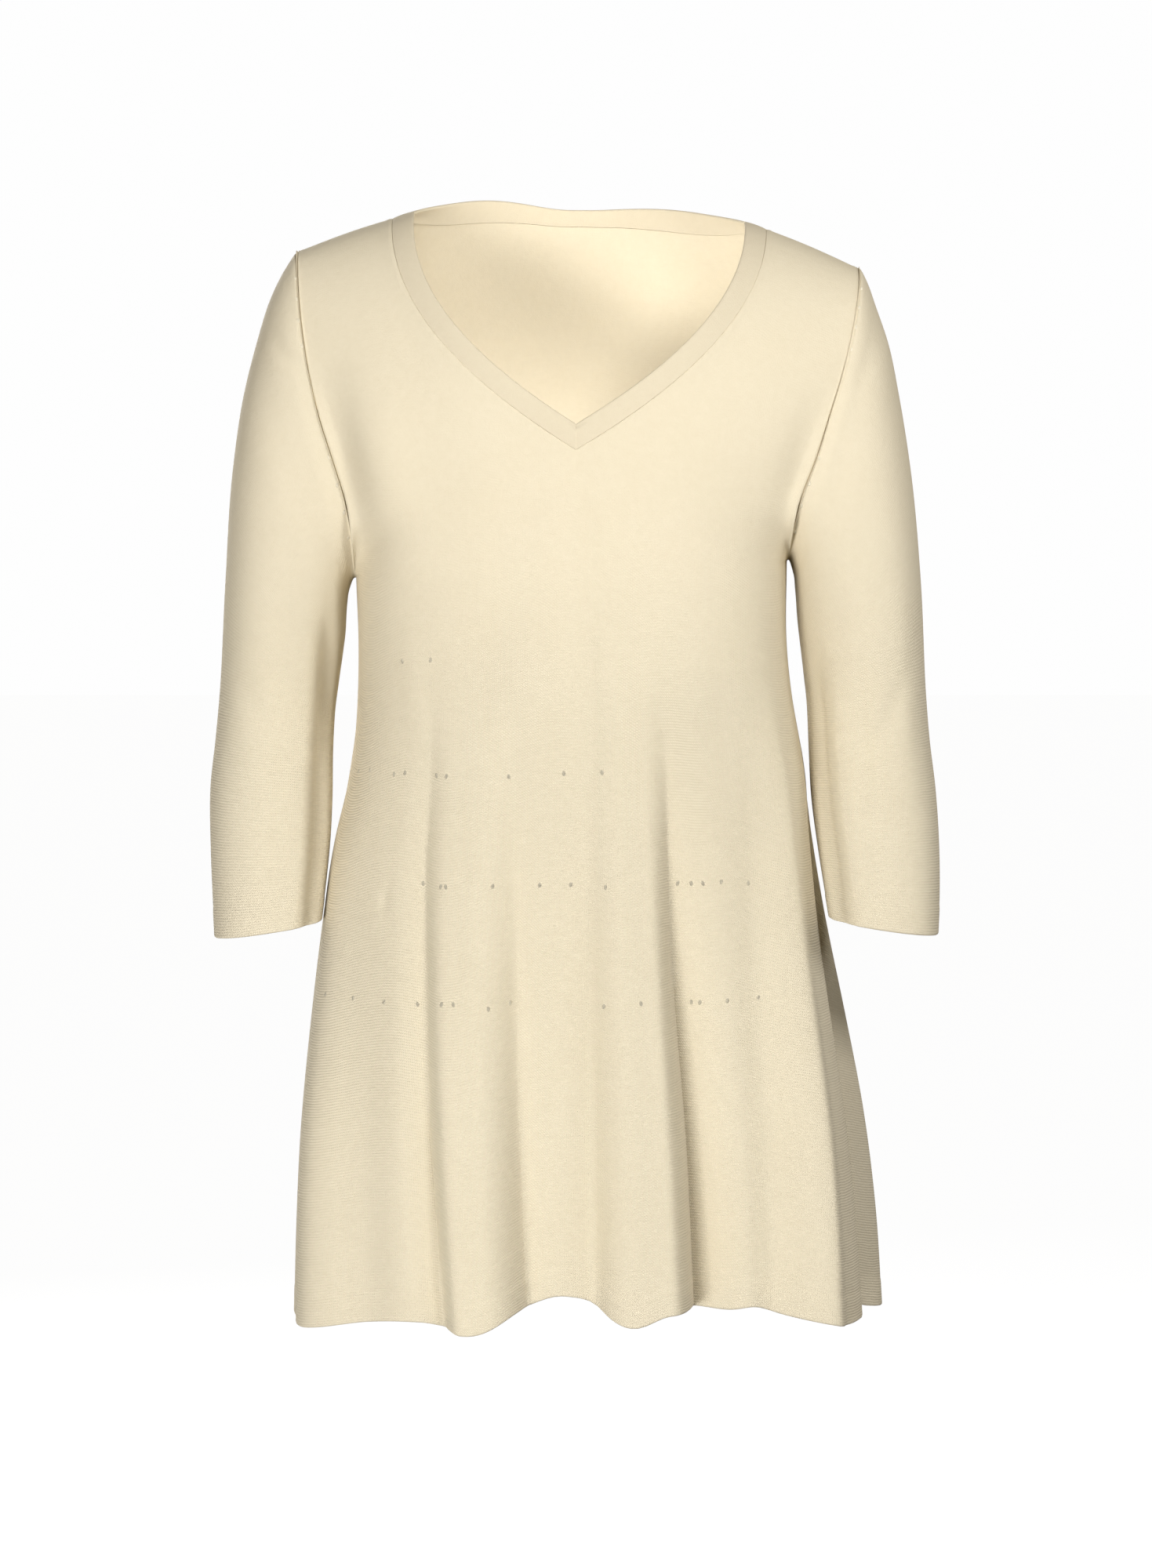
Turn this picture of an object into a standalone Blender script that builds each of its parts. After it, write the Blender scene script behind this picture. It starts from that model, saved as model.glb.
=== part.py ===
"""A fine-knit V-neck tunic top with three-quarter sleeves, filled out as it is when worn.

Metres, with +X to the wearer's left, -Y to the front and +Z up. The origin is the middle of
the shoulder line, where the wearer carries the tunic. The body is a tube of rings under the
arms and a dome over the chest, back and shoulders. Each knitted piece is a patch of that
surface with a real cloth thickness, its edges held back from its neighbours at the seams.
"""

import math

import bpy
import numpy as np

# Cloth and seams
WALL = 0.0018
TURNED_WALL = 0.0030
BAND_WALL = 0.0022
SEAM_GAP = 0.0003
TURN_UP = 0.018
TURN_STEP = 0.003

# Levels of the worn body, from the shoulder line down
UNDERARM_Z = {-1: -0.249, 1: -0.237}
UNDERARM_MIDDLE_Z = -0.243
BUST_Z = -0.185
TIP_Z = {-1: -0.0235, 1: -0.035}
NECK_TOP_Z = 0.14

# Roundness of the rings and of the dome, as superellipse exponents
RING_ROUND = 2.2
BUST_ROUND = 2.6
FRONT_ROUND = 2.8
CHEST_ROUND = 2.4
CENTRE_DOME = 1.6
ARMHOLE_DOME = 2.0

# The armhole's depth to the front and back, and the ridge of the shoulders: a straight
# slope out to the tip, and a steeper rise inside the neck point
ARMHOLE_FRONT = 0.066
ARMHOLE_BACK = 0.062
RIDGE_SLOPE = {-1: 0.40, 1: 0.46}
RIDGE_SOFT = 0.2
NECK_POINT = 0.62
NECK_RISE = 2.0
SHOULDER_SWELL = 0.009

# The V neck: half widths of its finished edge on each side, depth of its point, and the band
NECK_HALF = {-1: 0.113, 1: 0.118}
V_DEPTH = 0.147
V_CURVE = 2.1
BAND_WIDTH = 0.014
BAND_MITRE = 0.0165

# The back neck in plan: how far behind the shoulders its edge and its band's seam pass,
# and how round they are on each side
BACK_NECK_Y = 0.0667
BACK_SEAM_Y = 0.0695
BACK_NECK_ROUND = {-1: 2.12, 1: 2.2}

# How finely the solids follow the surface
FRONT_HALF_COLUMNS = 30
BACK_HALF_COLUMNS = 26
SKIRT_RINGS = 10
UNDERARM_RINGS = 4
DOME_RINGS = 9
SLEEVE_RINGS = 11
DRIFT_Z = -0.36
DRIFT_END_Z = -0.26
RIM_ORDER = (0.37, 0.21, 1.0)

# Body under the arms: height, half width at the wearer's right and left, front and back depth
TORSO = (
    (-0.185, 0.1560, 0.1530, 0.1130, 0.0960),
    (-0.237, 0.1528, 0.1464, 0.1130, 0.0935),
    (-0.249, 0.1526, 0.1462, 0.1128, 0.0930),
    (-0.295, 0.1512, 0.1464, 0.1110, 0.0900),
    (-0.330, 0.1518, 0.1500, 0.1095, 0.0900),
    (-0.361, 0.1540, 0.1555, 0.1100, 0.0930),
    (-0.394, 0.1600, 0.1620, 0.1120, 0.0990),
    (-0.430, 0.1690, 0.1660, 0.1160, 0.1070),
    (-0.490, 0.1785, 0.1730, 0.1240, 0.1180),
    (-0.560, 0.1870, 0.1835, 0.1330, 0.1280),
    (-0.630, 0.1935, 0.1940, 0.1410, 0.1370),
    (-0.700, 0.1970, 0.2015, 0.1480, 0.1450),
    (-0.780, 0.1990, 0.2070, 0.1540, 0.1530),
)

# Armhole seam from the underarm to the shoulder tip: height, distance out at right and left
ARMHOLE = (
    (-0.249, 0.1526, 0.1462),
    (-0.237, 0.1528, 0.1464),
    (-0.222, 0.1536, 0.1476),
    (-0.200, 0.1566, 0.1518),
    (-0.170, 0.1655, 0.1630),
    (-0.140, 0.1750, 0.1725),
    (-0.110, 0.1820, 0.1820),
    (-0.080, 0.1872, 0.1895),
    (-0.050, 0.1905, 0.1945),
    (-0.0235, 0.1925, 0.1958),
)

# Folds of the flare. Turn is in degrees round the body: 0 at the front, 90 at the wearer's
# left, 180 at the back. Columns: turn at the top, turn at the hem, height where it starts,
# reach at the hem (out is positive), width before and after, and lean along the ring.
FOLDS = (
    (-70.0, -64.0, -0.40, 0.008, 15.0, 14.0, 0.0),
    (-50.0, -44.0, -0.46, -0.005, 12.0, 12.0, 0.0),
    (42.0, 41.0, -0.42, -0.004, 14.0, 14.0, 0.0),
    (62.0, 56.0, -0.36, 0.010, 14.0, 8.0, 0.0),
    (88.0, 86.0, -0.37, -0.026, 13.0, 12.0, -0.2),
    (106.0, 108.0, -0.36, 0.024, 13.0, 15.0, 0.0),
    (128.0, 130.0, -0.33, -0.026, 10.0, 12.0, 0.3),
    (150.0, 152.0, -0.40, -0.018, 9.0, 9.0, -0.3),
    (172.0, 171.0, -0.33, -0.030, 11.0, 10.0, -0.4),
    (-167.0, -168.0, -0.41, -0.014, 8.0, 8.0, 0.0),
    (-146.0, -148.0, -0.33, -0.032, 11.0, 11.0, 0.4),
    (-125.0, -127.0, -0.39, -0.018, 9.0, 9.0, 0.0),
    (-108.0, -109.0, -0.38, 0.008, 10.0, 10.0, 0.0),
    (-92.0, -92.0, -0.37, -0.014, 10.0, 11.0, 0.2),
)

# Walls of the front's flutes, where the cloth steps in or out. Columns: turns where the wall
# starts and ends at the top, and at the hem, height where it begins, and step at the hem
# (out is positive).
WALLS = (
    (-49.0, -39.5, -32.0, -24.8, -0.30, -0.009),
    (-39.5, -32.0, -24.8, -20.4, -0.30, 0.017),
    (-25.0, -14.5, -16.0, -7.8, -0.33, -0.026),
    (-5.0, 1.8, -2.0, 2.7, -0.36, -0.003),
    (1.8, 10.0, 2.7, 8.4, -0.36, 0.017),
    (12.0, 21.5, 12.8, 24.4, -0.31, -0.036),
    (21.5, 42.0, 24.4, 38.0, -0.34, 0.022),
)
# The wall after them, which brings the ring back to where it was before the first: its turns
CLOSING_WALL = (46.0, 64.0, 42.0, 62.0)

# Hem edge: turn in degrees, height
HEM = (
    (-180.0, -0.766),
    (-148.0, -0.758),
    (-120.0, -0.766),
    (-92.0, -0.757),
    (-64.0, -0.758),
    (-44.0, -0.749),
    (-30.0, -0.746),
    (-17.5, -0.752),
    (-9.0, -0.7385),
    (-1.5, -0.731),
    (2.2, -0.735),
    (5.3, -0.7445),
    (8.8, -0.7495),
    (15.7, -0.742),
    (23.5, -0.742),
    (31.0, -0.743),
    (37.0, -0.741),
    (47.0, -0.748),
    (60.0, -0.756),
    (86.0, -0.757),
    (108.0, -0.771),
    (130.0, -0.758),
    (152.0, -0.766),
    (180.0, -0.766),
)

# Sleeves, one row a section: outer edge out and height, inner edge out and height, the
# section's middle to the back, its half depth, and where it is widest on the way inwards
SLEEVES = {
    -1: (
        (0.1975, -0.029, 0.1568, -0.2530, 0.000, 0.066, 0.71),
        (0.2037, -0.039, 0.1590, -0.2600, 0.000, 0.066, 0.68),
        (0.2115, -0.055, 0.1600, -0.2680, 0.000, 0.065, 0.65),
        (0.2218, -0.087, 0.1606, -0.2770, 0.000, 0.064, 0.62),
        (0.2307, -0.122, 0.1610, -0.2870, 0.000, 0.063, 0.58),
        (0.2385, -0.172, 0.1626, -0.3000, 0.001, 0.061, 0.54),
        (0.2445, -0.252, 0.1660, -0.3230, 0.003, 0.057, 0.50),
        (0.2490, -0.330, 0.1692, -0.3500, 0.004, 0.053, 0.50),
        (0.2518, -0.362, 0.1700, -0.3720, 0.000, 0.050, 0.50),
        (0.2548, -0.395, 0.1700, -0.4020, -0.008, 0.048, 0.50),
        (0.2540, -0.435, 0.1712, -0.4350, -0.018, 0.045, 0.50),
        (0.2520, -0.470, 0.1738, -0.4640, -0.027, 0.042, 0.50),
        (0.2502, -0.4965, 0.1761, -0.4855, -0.034, 0.040, 0.50),
    ),
    1: (
        (0.1992, -0.039, 0.1503, -0.2410, 0.000, 0.066, 0.71),
        (0.2025, -0.046, 0.1523, -0.2485, 0.000, 0.066, 0.68),
        (0.2075, -0.060, 0.1531, -0.2570, 0.000, 0.065, 0.65),
        (0.2168, -0.087, 0.1538, -0.2660, 0.000, 0.064, 0.62),
        (0.2242, -0.122, 0.1544, -0.2760, 0.000, 0.063, 0.58),
        (0.2325, -0.172, 0.1558, -0.2890, 0.001, 0.061, 0.54),
        (0.2405, -0.252, 0.1590, -0.3150, 0.003, 0.057, 0.50),
        (0.2446, -0.330, 0.1620, -0.3450, 0.004, 0.053, 0.50),
        (0.2470, -0.362, 0.1628, -0.3700, 0.000, 0.050, 0.50),
        (0.2505, -0.395, 0.1640, -0.4000, -0.008, 0.048, 0.50),
        (0.2525, -0.435, 0.1680, -0.4350, -0.018, 0.045, 0.50),
        (0.2522, -0.470, 0.1722, -0.4640, -0.027, 0.042, 0.50),
        (0.2507, -0.4945, 0.1751, -0.4835, -0.034, 0.040, 0.50),
    ),
}
SLEEVE_ROUND = 2.1
SLEEVE_BOW_SECTIONS = 7
SLEEVE_STATIONS = (0.0, 0.008, 0.018, 0.031, 0.047, 0.066, 0.089)

# Creases along a sleeve: turn from its outer edge towards the front, start and end as shares
# of its length, reach and half width in degrees
SLEEVE_FOLDS = (
    (118.0, 0.12, 1.05, 0.004, 22.0),
    (150.0, 0.20, 1.05, -0.003, 20.0),
    (250.0, 0.15, 0.95, -0.003, 24.0),
)

# Each piece's knit: linear red, green and blue, and roughness
KNITS = {
    "front_panel": (0.860, 0.780, 0.600, 0.90),
    "back_panel": (0.850, 0.770, 0.590, 0.90),
    "sleeve_right": (0.845, 0.765, 0.585, 0.90),
    "sleeve_left": (0.860, 0.780, 0.600, 0.90),
    "neckband_front_right": (0.820, 0.735, 0.550, 0.88),
    "neckband_front_left": (0.820, 0.735, 0.550, 0.88),
    "neckband_back": (0.830, 0.745, 0.560, 0.88),
}


def through(x, knots, values):
    """A smooth curve through the knots: a cubic on each span, its slopes the chords' own."""
    knots, values = np.asarray(knots, float), np.asarray(values, float)
    slopes = np.gradient(values, knots)
    x = np.clip(x, knots[0], knots[-1])
    i = np.clip(np.searchsorted(knots, x) - 1, 0, len(knots) - 2)
    span = knots[i + 1] - knots[i]
    s = (x - knots[i]) / span
    start, end = values[i], values[i + 1]
    rise = end - start
    first, last = slopes[i] * span, slopes[i + 1] * span
    return start + s * (first + s * (3 * rise - 2 * first - last + s * (first + last - 2 * rise)))


def column(table, z, index):
    """One column of a table of falling or rising heights, read at the heights z."""
    rows = np.array(sorted(table))
    return through(z, rows[:, 0], rows[:, index])


def side_column(side):
    return 1 if side < 0 else 2


def bump(offset, before, after):
    """A smooth hump of height 1 that falls to 0 at its two widths."""
    reach = np.where(offset < 0, before, after)
    return np.cos(np.clip(np.abs(offset) / reach, 0, 1) * math.pi / 2) ** 2


def step_up(x, start, end):
    """A smooth step from 0 at the start to 1 at the end."""
    share = np.clip((x - start) / (end - start), 0, 1)
    return share * share * (3 - 2 * share)


def fold_reach(turn, z):
    """How far the folds push the ring out, and along itself, at each turn and height."""
    out, along = np.zeros_like(turn + z), np.zeros_like(turn + z)
    for top_turn, hem_turn, top_z, reach, before, after, lean in FOLDS:
        down = np.clip((top_z - z) / (top_z + 0.75), 0, 1)
        centre = top_turn + (hem_turn - top_turn) * down
        offset = (turn - centre + 180) % 360 - 180
        push = reach * np.sin(down * math.pi / 2) ** 1.2 * bump(offset, before, after)
        out += push
        along += lean * np.abs(push)
    total = 0.0
    for top_start, top_end, hem_start, hem_end, top_z, step in WALLS:
        down = np.clip((top_z - z) / (top_z + 0.75), 0, 1)
        start = top_start + (hem_start - top_start) * down
        end = top_end + (hem_end - top_end) * down
        reach = step * np.sin(down * math.pi / 2) ** 1.2
        out += reach * step_up(turn, start, end)
        total = total + reach
    down = np.clip((-0.30 - z) / 0.45, 0, 1)
    top_start, top_end, hem_start, hem_end = CLOSING_WALL
    start = top_start + (hem_start - top_start) * down
    end = top_end + (hem_end - top_end) * down
    out -= total * step_up(turn, start, end)
    return out, along


def hem_height(turn):
    turns, heights = zip(*HEM)
    return through(turn, turns, heights)


def underarm_height(side, across):
    """Height of the ring through the underarms, which is not the same at both sides."""
    return UNDERARM_MIDDLE_Z + (UNDERARM_Z[side] - UNDERARM_MIDDLE_Z) * across * across


def ring_points(face, side, across, z):
    """Body below the bust line: superellipse rings, blended from the underarms up into the
    dome's own section with its open armholes."""
    underarm = underarm_height(side, across)
    depth = column(TORSO, z, 3 if face < 0 else 4)
    half = np.where(
        z > underarm,
        column(ARMHOLE, z, side_column(side)),
        column(TORSO, z, side_column(side)),
    )
    open_share = np.clip((z - underarm) / (BUST_Z - underarm), 0, 1)
    climb = np.arccos(1 - open_share)
    armhole = ARMHOLE_FRONT if face < 0 else ARMHOLE_BACK
    smooth = open_share * open_share * (3 - 2 * open_share)
    ring = RING_ROUND + (BUST_ROUND - RING_ROUND) * step_up(z, -0.44, -0.27)
    if face < 0:
        ring = ring + (FRONT_ROUND - RING_ROUND) * step_up(-z, 0.49, 0.66)
    rounded = np.sin(across * math.pi / 2) ** (2 / RING_ROUND)
    t = rounded + (across - rounded) * smooth
    closed = depth * np.clip(1 - t**ring, 0, 1) ** (1 / ring)
    opened = armhole + (depth - armhole) * (1 - t**CHEST_ROUND)
    x, y = half * t, closed + (opened - closed) * smooth
    y = y + armhole * (np.sin(climb) - smooth) * across**10
    # The outward direction is the gradient of the superellipse.
    nx = (t ** (ring - 1)) / half
    ny = (np.clip(y / depth, 0, 1) ** (ring - 1)) / depth
    size = np.hypot(nx, ny)
    nx, ny = nx / size, ny / size
    turn = side * (90 * across if face < 0 else 180 - 90 * across)
    out, along = fold_reach(turn, z)
    along = along * side * (1 if face < 0 else -1)
    x, y = x + nx * out + ny * along, y + ny * out - nx * along
    return np.stack([side * x, face * y, z + 0 * x], axis=-1)


def dome_levels(face, side, w):
    """Where the dome's rise w meets the middle line and the armhole seam."""
    up, back = np.sin(w * math.pi / 2), np.cos(w * math.pi / 2)
    middle_z = BUST_Z + (NECK_TOP_Z - BUST_Z) * up ** (2 / CENTRE_DOME)
    seam_z = BUST_Z + (TIP_Z[side] - BUST_Z) * up ** (2 / ARMHOLE_DOME)
    depth = column(TORSO, BUST_Z, 3 if face < 0 else 4)
    armhole = ARMHOLE_FRONT if face < 0 else ARMHOLE_BACK
    middle_y = depth * back ** (2 / CENTRE_DOME)
    seam_y = armhole * back ** (2 / ARMHOLE_DOME)
    return middle_z, middle_y, seam_z, seam_y, column(ARMHOLE, seam_z, side_column(side))


def dome_points(face, side, t, w):
    """Chest, back and shoulders: t runs from the middle line to the armhole, w up."""
    middle_z, middle_y, seam_z, seam_y, seam_x = dome_levels(face, side, w)
    inside = np.cos(np.clip(t / NECK_POINT, 0, 1) * math.pi / 2) ** NECK_RISE
    full = (1 + RIDGE_SOFT**4) ** 0.25 - RIDGE_SOFT
    eased = ((t**4 + RIDGE_SOFT**4) ** 0.25 - RIDGE_SOFT) / full
    slope = RIDGE_SLOPE[side] * full
    ridge = slope * (1 - eased) + (1 - slope) * inside
    ridge = ridge + SHOULDER_SWELL * np.sin(np.clip((t - 0.6) / 0.4, 0, 1) * math.pi) * w
    # Low rows stay level; the ridge's own shape comes in towards the shoulders.
    z = seam_z + (middle_z - seam_z) * ridge
    level = np.clip(1 - 3 * w, 0, 1)
    z = z + (middle_z + (seam_z - middle_z) * t - z) * level * level
    y = seam_y + (middle_y - seam_y) * (1 - t**CHEST_ROUND)
    return np.stack([side * seam_x * t, face * y, z], axis=-1)


def halving(low, high, too_high, steps=40):
    """Arrays of roots by halving: too_high says where the guess is past the root."""
    for _ in range(steps):
        middle = (low + high) / 2
        past = too_high(middle)
        low, high = np.where(past, low, middle), np.where(past, middle, high)
    return (low + high) / 2


def v_half_width(side, z, extra=0.0, drop=0.0):
    """Half width of the V neck at a height: a curve that closes to its point."""
    share = np.clip(-z / (V_DEPTH + drop), 0, 1)
    return (NECK_HALF[side] + extra) * (1 - share**V_CURVE)


def v_edge(side, w, extra=0.0, drop=0.0):
    """The t at which each row w of the front meets the V neck, or its band's seam."""

    def inside_cloth(t):
        point = dome_points(-1, side, t, w)
        return side * point[..., 0] > v_half_width(side, point[..., 2], extra, drop)

    return halving(np.zeros_like(w), np.ones_like(w), inside_cloth)


def v_point_rise(depth):
    """The w of the middle line at a depth below the shoulder line."""

    def above(w):
        return dome_points(-1, 1, np.zeros(1), w)[..., 2] > -depth

    return float(halving(np.zeros(1), np.ones(1), above)[0])


def back_rise(side, t, seam):
    """The w at which each column t of the back meets the neck's edge, or its band's seam
    where seam is 1: a curve set out in plan."""
    corner = NECK_HALF[side] + BAND_WIDTH * seam
    behind = BACK_SEAM_Y if seam else BACK_NECK_Y

    def past(w):
        point = dome_points(1, side, t, w)
        share = np.clip(np.abs(point[..., 0]) / corner, 0, 1)
        return point[..., 1] < behind * (1 - share ** BACK_NECK_ROUND[side])

    return halving(np.zeros_like(t), np.ones_like(t), past)


def gathered(face, side, count):
    """Columns from the middle line to the side, closer together where folds are steep."""
    fine = np.linspace(0, 1, 721)
    turn = side * (90 * fine if face < 0 else 180 - 90 * fine)
    density = np.ones_like(fine)
    for _, hem_turn, _, reach, before, after, _ in FOLDS:
        offset = (turn - hem_turn + 180) % 360 - 180
        density += 55 * abs(reach) * bump(offset, 1.2 * before, 1.2 * after)
    for _, _, start, end, _, step in (*WALLS, (0, 0, *CLOSING_WALL[2:], 0, 0.018)):
        half = (end - start) / 2 + 1.0
        offset = turn - (start + end) / 2
        density += 240 * abs(step) / half * bump(offset, 1.5 * half, 1.5 * half)
    total = np.concatenate([[0], np.cumsum((density[1:] + density[:-1]) / 2)])
    return np.interp(np.linspace(0, total[-1], count + 1), total, fine)


def skirt_rises():
    """Shares of the way from the hem to the underarm, with rows for the turned hem."""
    drop = 0.50
    turned = [0.0, (TURN_UP - TURN_STEP) / drop, TURN_UP / drop]
    return np.concatenate([turned, np.linspace(TURN_UP / drop, 1, SKIRT_RINGS)[1:]])


def dome_rises():
    """Rises of the dome's rows, with one through the point of the V's seam."""
    point = v_point_rise(V_DEPTH + BAND_MITRE)
    return point + (1 - point) * np.linspace(0, 1, DOME_RINGS + 1)


def drift(face, side, across, z, hem):
    """Columns that lean with the folds: at the hem they stand where the folds end, and
    higher up they move to where the folds start."""
    pairs = [row[:2] for row in FOLDS]
    walls = [row[:4] for row in WALLS] + [CLOSING_WALL]
    pairs += [(sum(row[:2]) / 2, sum(row[2:]) / 2) for row in walls]
    rows = sorted((abs(hem_turn), abs(top_turn) - abs(hem_turn)) for top_turn, hem_turn in pairs
                  if hem_turn * side > 0 and (abs(hem_turn) < 90) == (face < 0))
    turns, shifts = zip((0 if face < 0 else 90, 0), *rows, (90 if face < 0 else 180, 0))
    turn = 90 * across if face < 0 else 180 - 90 * across
    lift = np.clip((z - hem) / (DRIFT_Z - hem), 0, 1)
    fade = np.clip((DRIFT_END_Z - z) / (DRIFT_END_Z - DRIFT_Z), 0, 1)
    fade = fade * fade * (3 - 2 * fade)
    turn = turn + np.interp(turn, turns, shifts) * lift * fade
    return turn / 90 if face < 0 else 2 - turn / 90


def lower_rows(face, side, columns):
    """Rows of points from the hem up to the bust line."""
    turn = side * (90 * columns if face < 0 else 180 - 90 * columns)
    hem, underarm = hem_height(turn), underarm_height(side, columns)
    rows = [hem + (underarm - hem) * rise for rise in skirt_rises()]
    for climb in np.linspace(0, math.pi / 2, UNDERARM_RINGS + 1)[1:]:
        rows.append(underarm + (BUST_Z - underarm) * (1 - math.cos(climb)))
    return [ring_points(face, side, drift(face, side, columns, z, hem), z) for z in rows]


class Patch:
    """Points and quads of one knitted piece, wound so that they face outwards."""

    def __init__(self, name, wall=WALL):
        self.name, self.points, self.quads, self.walls = name, [], [], []
        self.level_normals = []
        self.wall = wall

    def add(self, points, wall=None):
        """Adds a row of points and returns their numbers."""
        first = len(self.points)
        self.points.extend(np.asarray(points, float).reshape(-1, 3))
        count = len(self.points) - first
        self.walls.extend([self.wall if wall is None else wall] * count)
        return list(range(first, len(self.points)))

    def strip(self, low, high, flip=False):
        """Quads between two rows of point numbers."""
        for a, b, c, d in zip(low[:-1], low[1:], high[1:], high[:-1]):
            self.quads.append((d, c, b, a) if flip else (a, b, c, d))

    def finish(self):
        self.points = np.array(self.points)
        self.walls = np.array(self.walls)
        corners = self.points[np.array(self.quads)]
        across = np.cross(corners[:, 2] - corners[:, 0], corners[:, 3] - corners[:, 1])
        self.face_normals = across
        self.normals = np.zeros_like(self.points)
        for k in range(4):
            np.add.at(self.normals, np.array(self.quads)[:, k], across)
        return self


def wall_at(row):
    """Cloth thickness at a row above the hem, doubled where the hem is turned up."""
    return TURNED_WALL if row < 2 else WALL


def front_panel(columns):
    """One piece from the hem to the V neck's seam and both shoulders."""
    patch = Patch("front_panel")
    both = {side: lower_rows(-1, side, columns[side]) for side in (-1, 1)}
    previous = None
    for row in range(len(both[1])):
        line = np.concatenate([both[-1][row][::-1], both[1][row][1:]])
        numbers = patch.add(line, wall_at(row))
        if previous:
            patch.strip(previous, numbers)
        previous = numbers
    middle = len(columns[-1]) - 1
    rises = dome_rises()
    level = {s: dome_points(-1, s, columns[s], np.full_like(columns[s], rises[0])) for s in (-1, 1)}
    v_row = patch.add(np.concatenate([level[-1][::-1], level[1][1:]]))
    patch.strip(previous, v_row)
    edges = {}
    for side in (-1, 1):
        starts = v_edge(side, rises, BAND_WIDTH, BAND_MITRE)
        starts[0] = 0.0
        low = v_row[: middle + 1][::-1] if side < 0 else v_row[middle:]
        edges[side] = [low[0]]
        for rise, start in zip(rises[1:], starts[1:]):
            t = start + (1 - start) * columns[side]
            high = patch.add(dome_points(-1, side, t, np.full_like(t, rise)))
            patch.strip(low, high, flip=side < 0)
            edges[side].append(high[0])
            low = high
        patch.level_normals.extend(low)
    patch.finish()
    patch.neck = {side: patch.points[edges[side]] for side in (-1, 1)}
    return patch


def back_panel(columns, tops):
    """One piece from the hem to the back neck's seam and both shoulders."""
    patch = Patch("back_panel")
    both = {}
    for side in (-1, 1):
        rows = lower_rows(1, side, columns[side])
        for rise in dome_rises():
            rows.append(dome_points(1, side, columns[side], rise * tops[side]))
        both[side] = rows
    previous = None
    for row in range(len(both[1])):
        line = np.concatenate([both[1][row][::-1], both[-1][row][1:]])
        numbers = patch.add(line, wall_at(row))
        if previous:
            patch.strip(previous, numbers)
        previous = numbers
    shoulders = {s: np.flatnonzero(tops[s] > 1 - 1e-9) for s in (-1, 1)}
    last = len(columns[1]) - 1
    patch.level_normals = [previous[last - i] for i in shoulders[1]]
    patch.level_normals += [previous[last + i] for i in shoulders[-1]]
    return patch.finish()


def back_columns(side, count):
    """The back's columns, with one moved to where the band's seam meets the shoulder, and
    how high up the dome each of them reaches."""
    columns = gathered(1, side, count)
    tip = np.abs(dome_points(1, side, np.ones(1), np.ones(1))[0, 0])
    seam = (NECK_HALF[side] + BAND_WIDTH) / tip
    near = int(np.argmin(np.abs(columns - seam)))
    columns[near] = seam
    tops = np.ones_like(columns)
    tops[:near] = back_rise(side, columns[:near], 1)
    return columns, tops, near


def front_band(side, seam_points):
    """The flat band along one side of the V, mitred at its point."""
    patch = Patch("neckband_front_" + ("right" if side < 0 else "left"), BAND_WALL)
    rises = dome_rises()
    low = v_point_rise(V_DEPTH)
    edge_rises = low + (rises - rises[0]) * (1 - low) / (1 - rises[0])
    starts = v_edge(side, edge_rises)
    starts[0] = 0.0
    edge = dome_points(-1, side, starts, edge_rises)
    return band_rows(patch, edge, seam_points, side < 0, [])


def band_rows(patch, edge, seam, flip, level_rows):
    """Fills a band between its finished edge and its seam."""
    rows = [patch.add((e, (e + s) / 2, s)) for e, s in zip(edge, seam)]
    for low, high in zip(rows[:-1], rows[1:]):
        patch.strip(low, high, flip)
    for number in (rows[-1], *[rows[i] for i in level_rows]):
        patch.level_normals.extend(number)
    return patch.finish()


def back_band(columns, tops, nears):
    """The band across the back neck, from shoulder seam to shoulder seam."""
    edge, seam = [], []
    for side in (1, -1):
        inner = columns[side][: nears[side] + 1]
        tip = np.abs(dome_points(1, side, np.ones(1), np.ones(1))[0, 0])
        t = inner * NECK_HALF[side] / (NECK_HALF[side] + BAND_WIDTH)
        rise = back_rise(side, t, 0)
        rise[-1] = 1.0
        t[-1] = NECK_HALF[side] / tip
        edges = dome_points(1, side, t, rise)
        seams = dome_points(1, side, inner, tops[side][: nears[side] + 1])
        order = slice(None, None, -1) if side > 0 else slice(1, None)
        edge.append(edges[order])
        seam.append(seams[order])
    patch = Patch("neckband_back", BAND_WALL)
    return band_rows(patch, np.concatenate(edge), np.concatenate(seam), False, [0])


def armhole_loop(side, columns):
    """The armhole seam, from the shoulder tip down the front and up the back."""
    one = np.ones(1)
    climbs = np.linspace(0, math.pi / 2, UNDERARM_RINGS + 1)
    low = [UNDERARM_Z[side] + (BUST_Z - UNDERARM_Z[side]) * (1 - math.cos(c)) for c in climbs]
    halves = []
    for face in (-1, 1):
        seam = [ring_points(face, side, one, np.array([z]))[0] for z in low]
        seam += [dome_points(face, side, one, np.array([w]))[0] for w in dome_rises()]
        halves.append(seam)
    return np.array(halves[0][::-1] + halves[1][1:-1])


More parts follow.
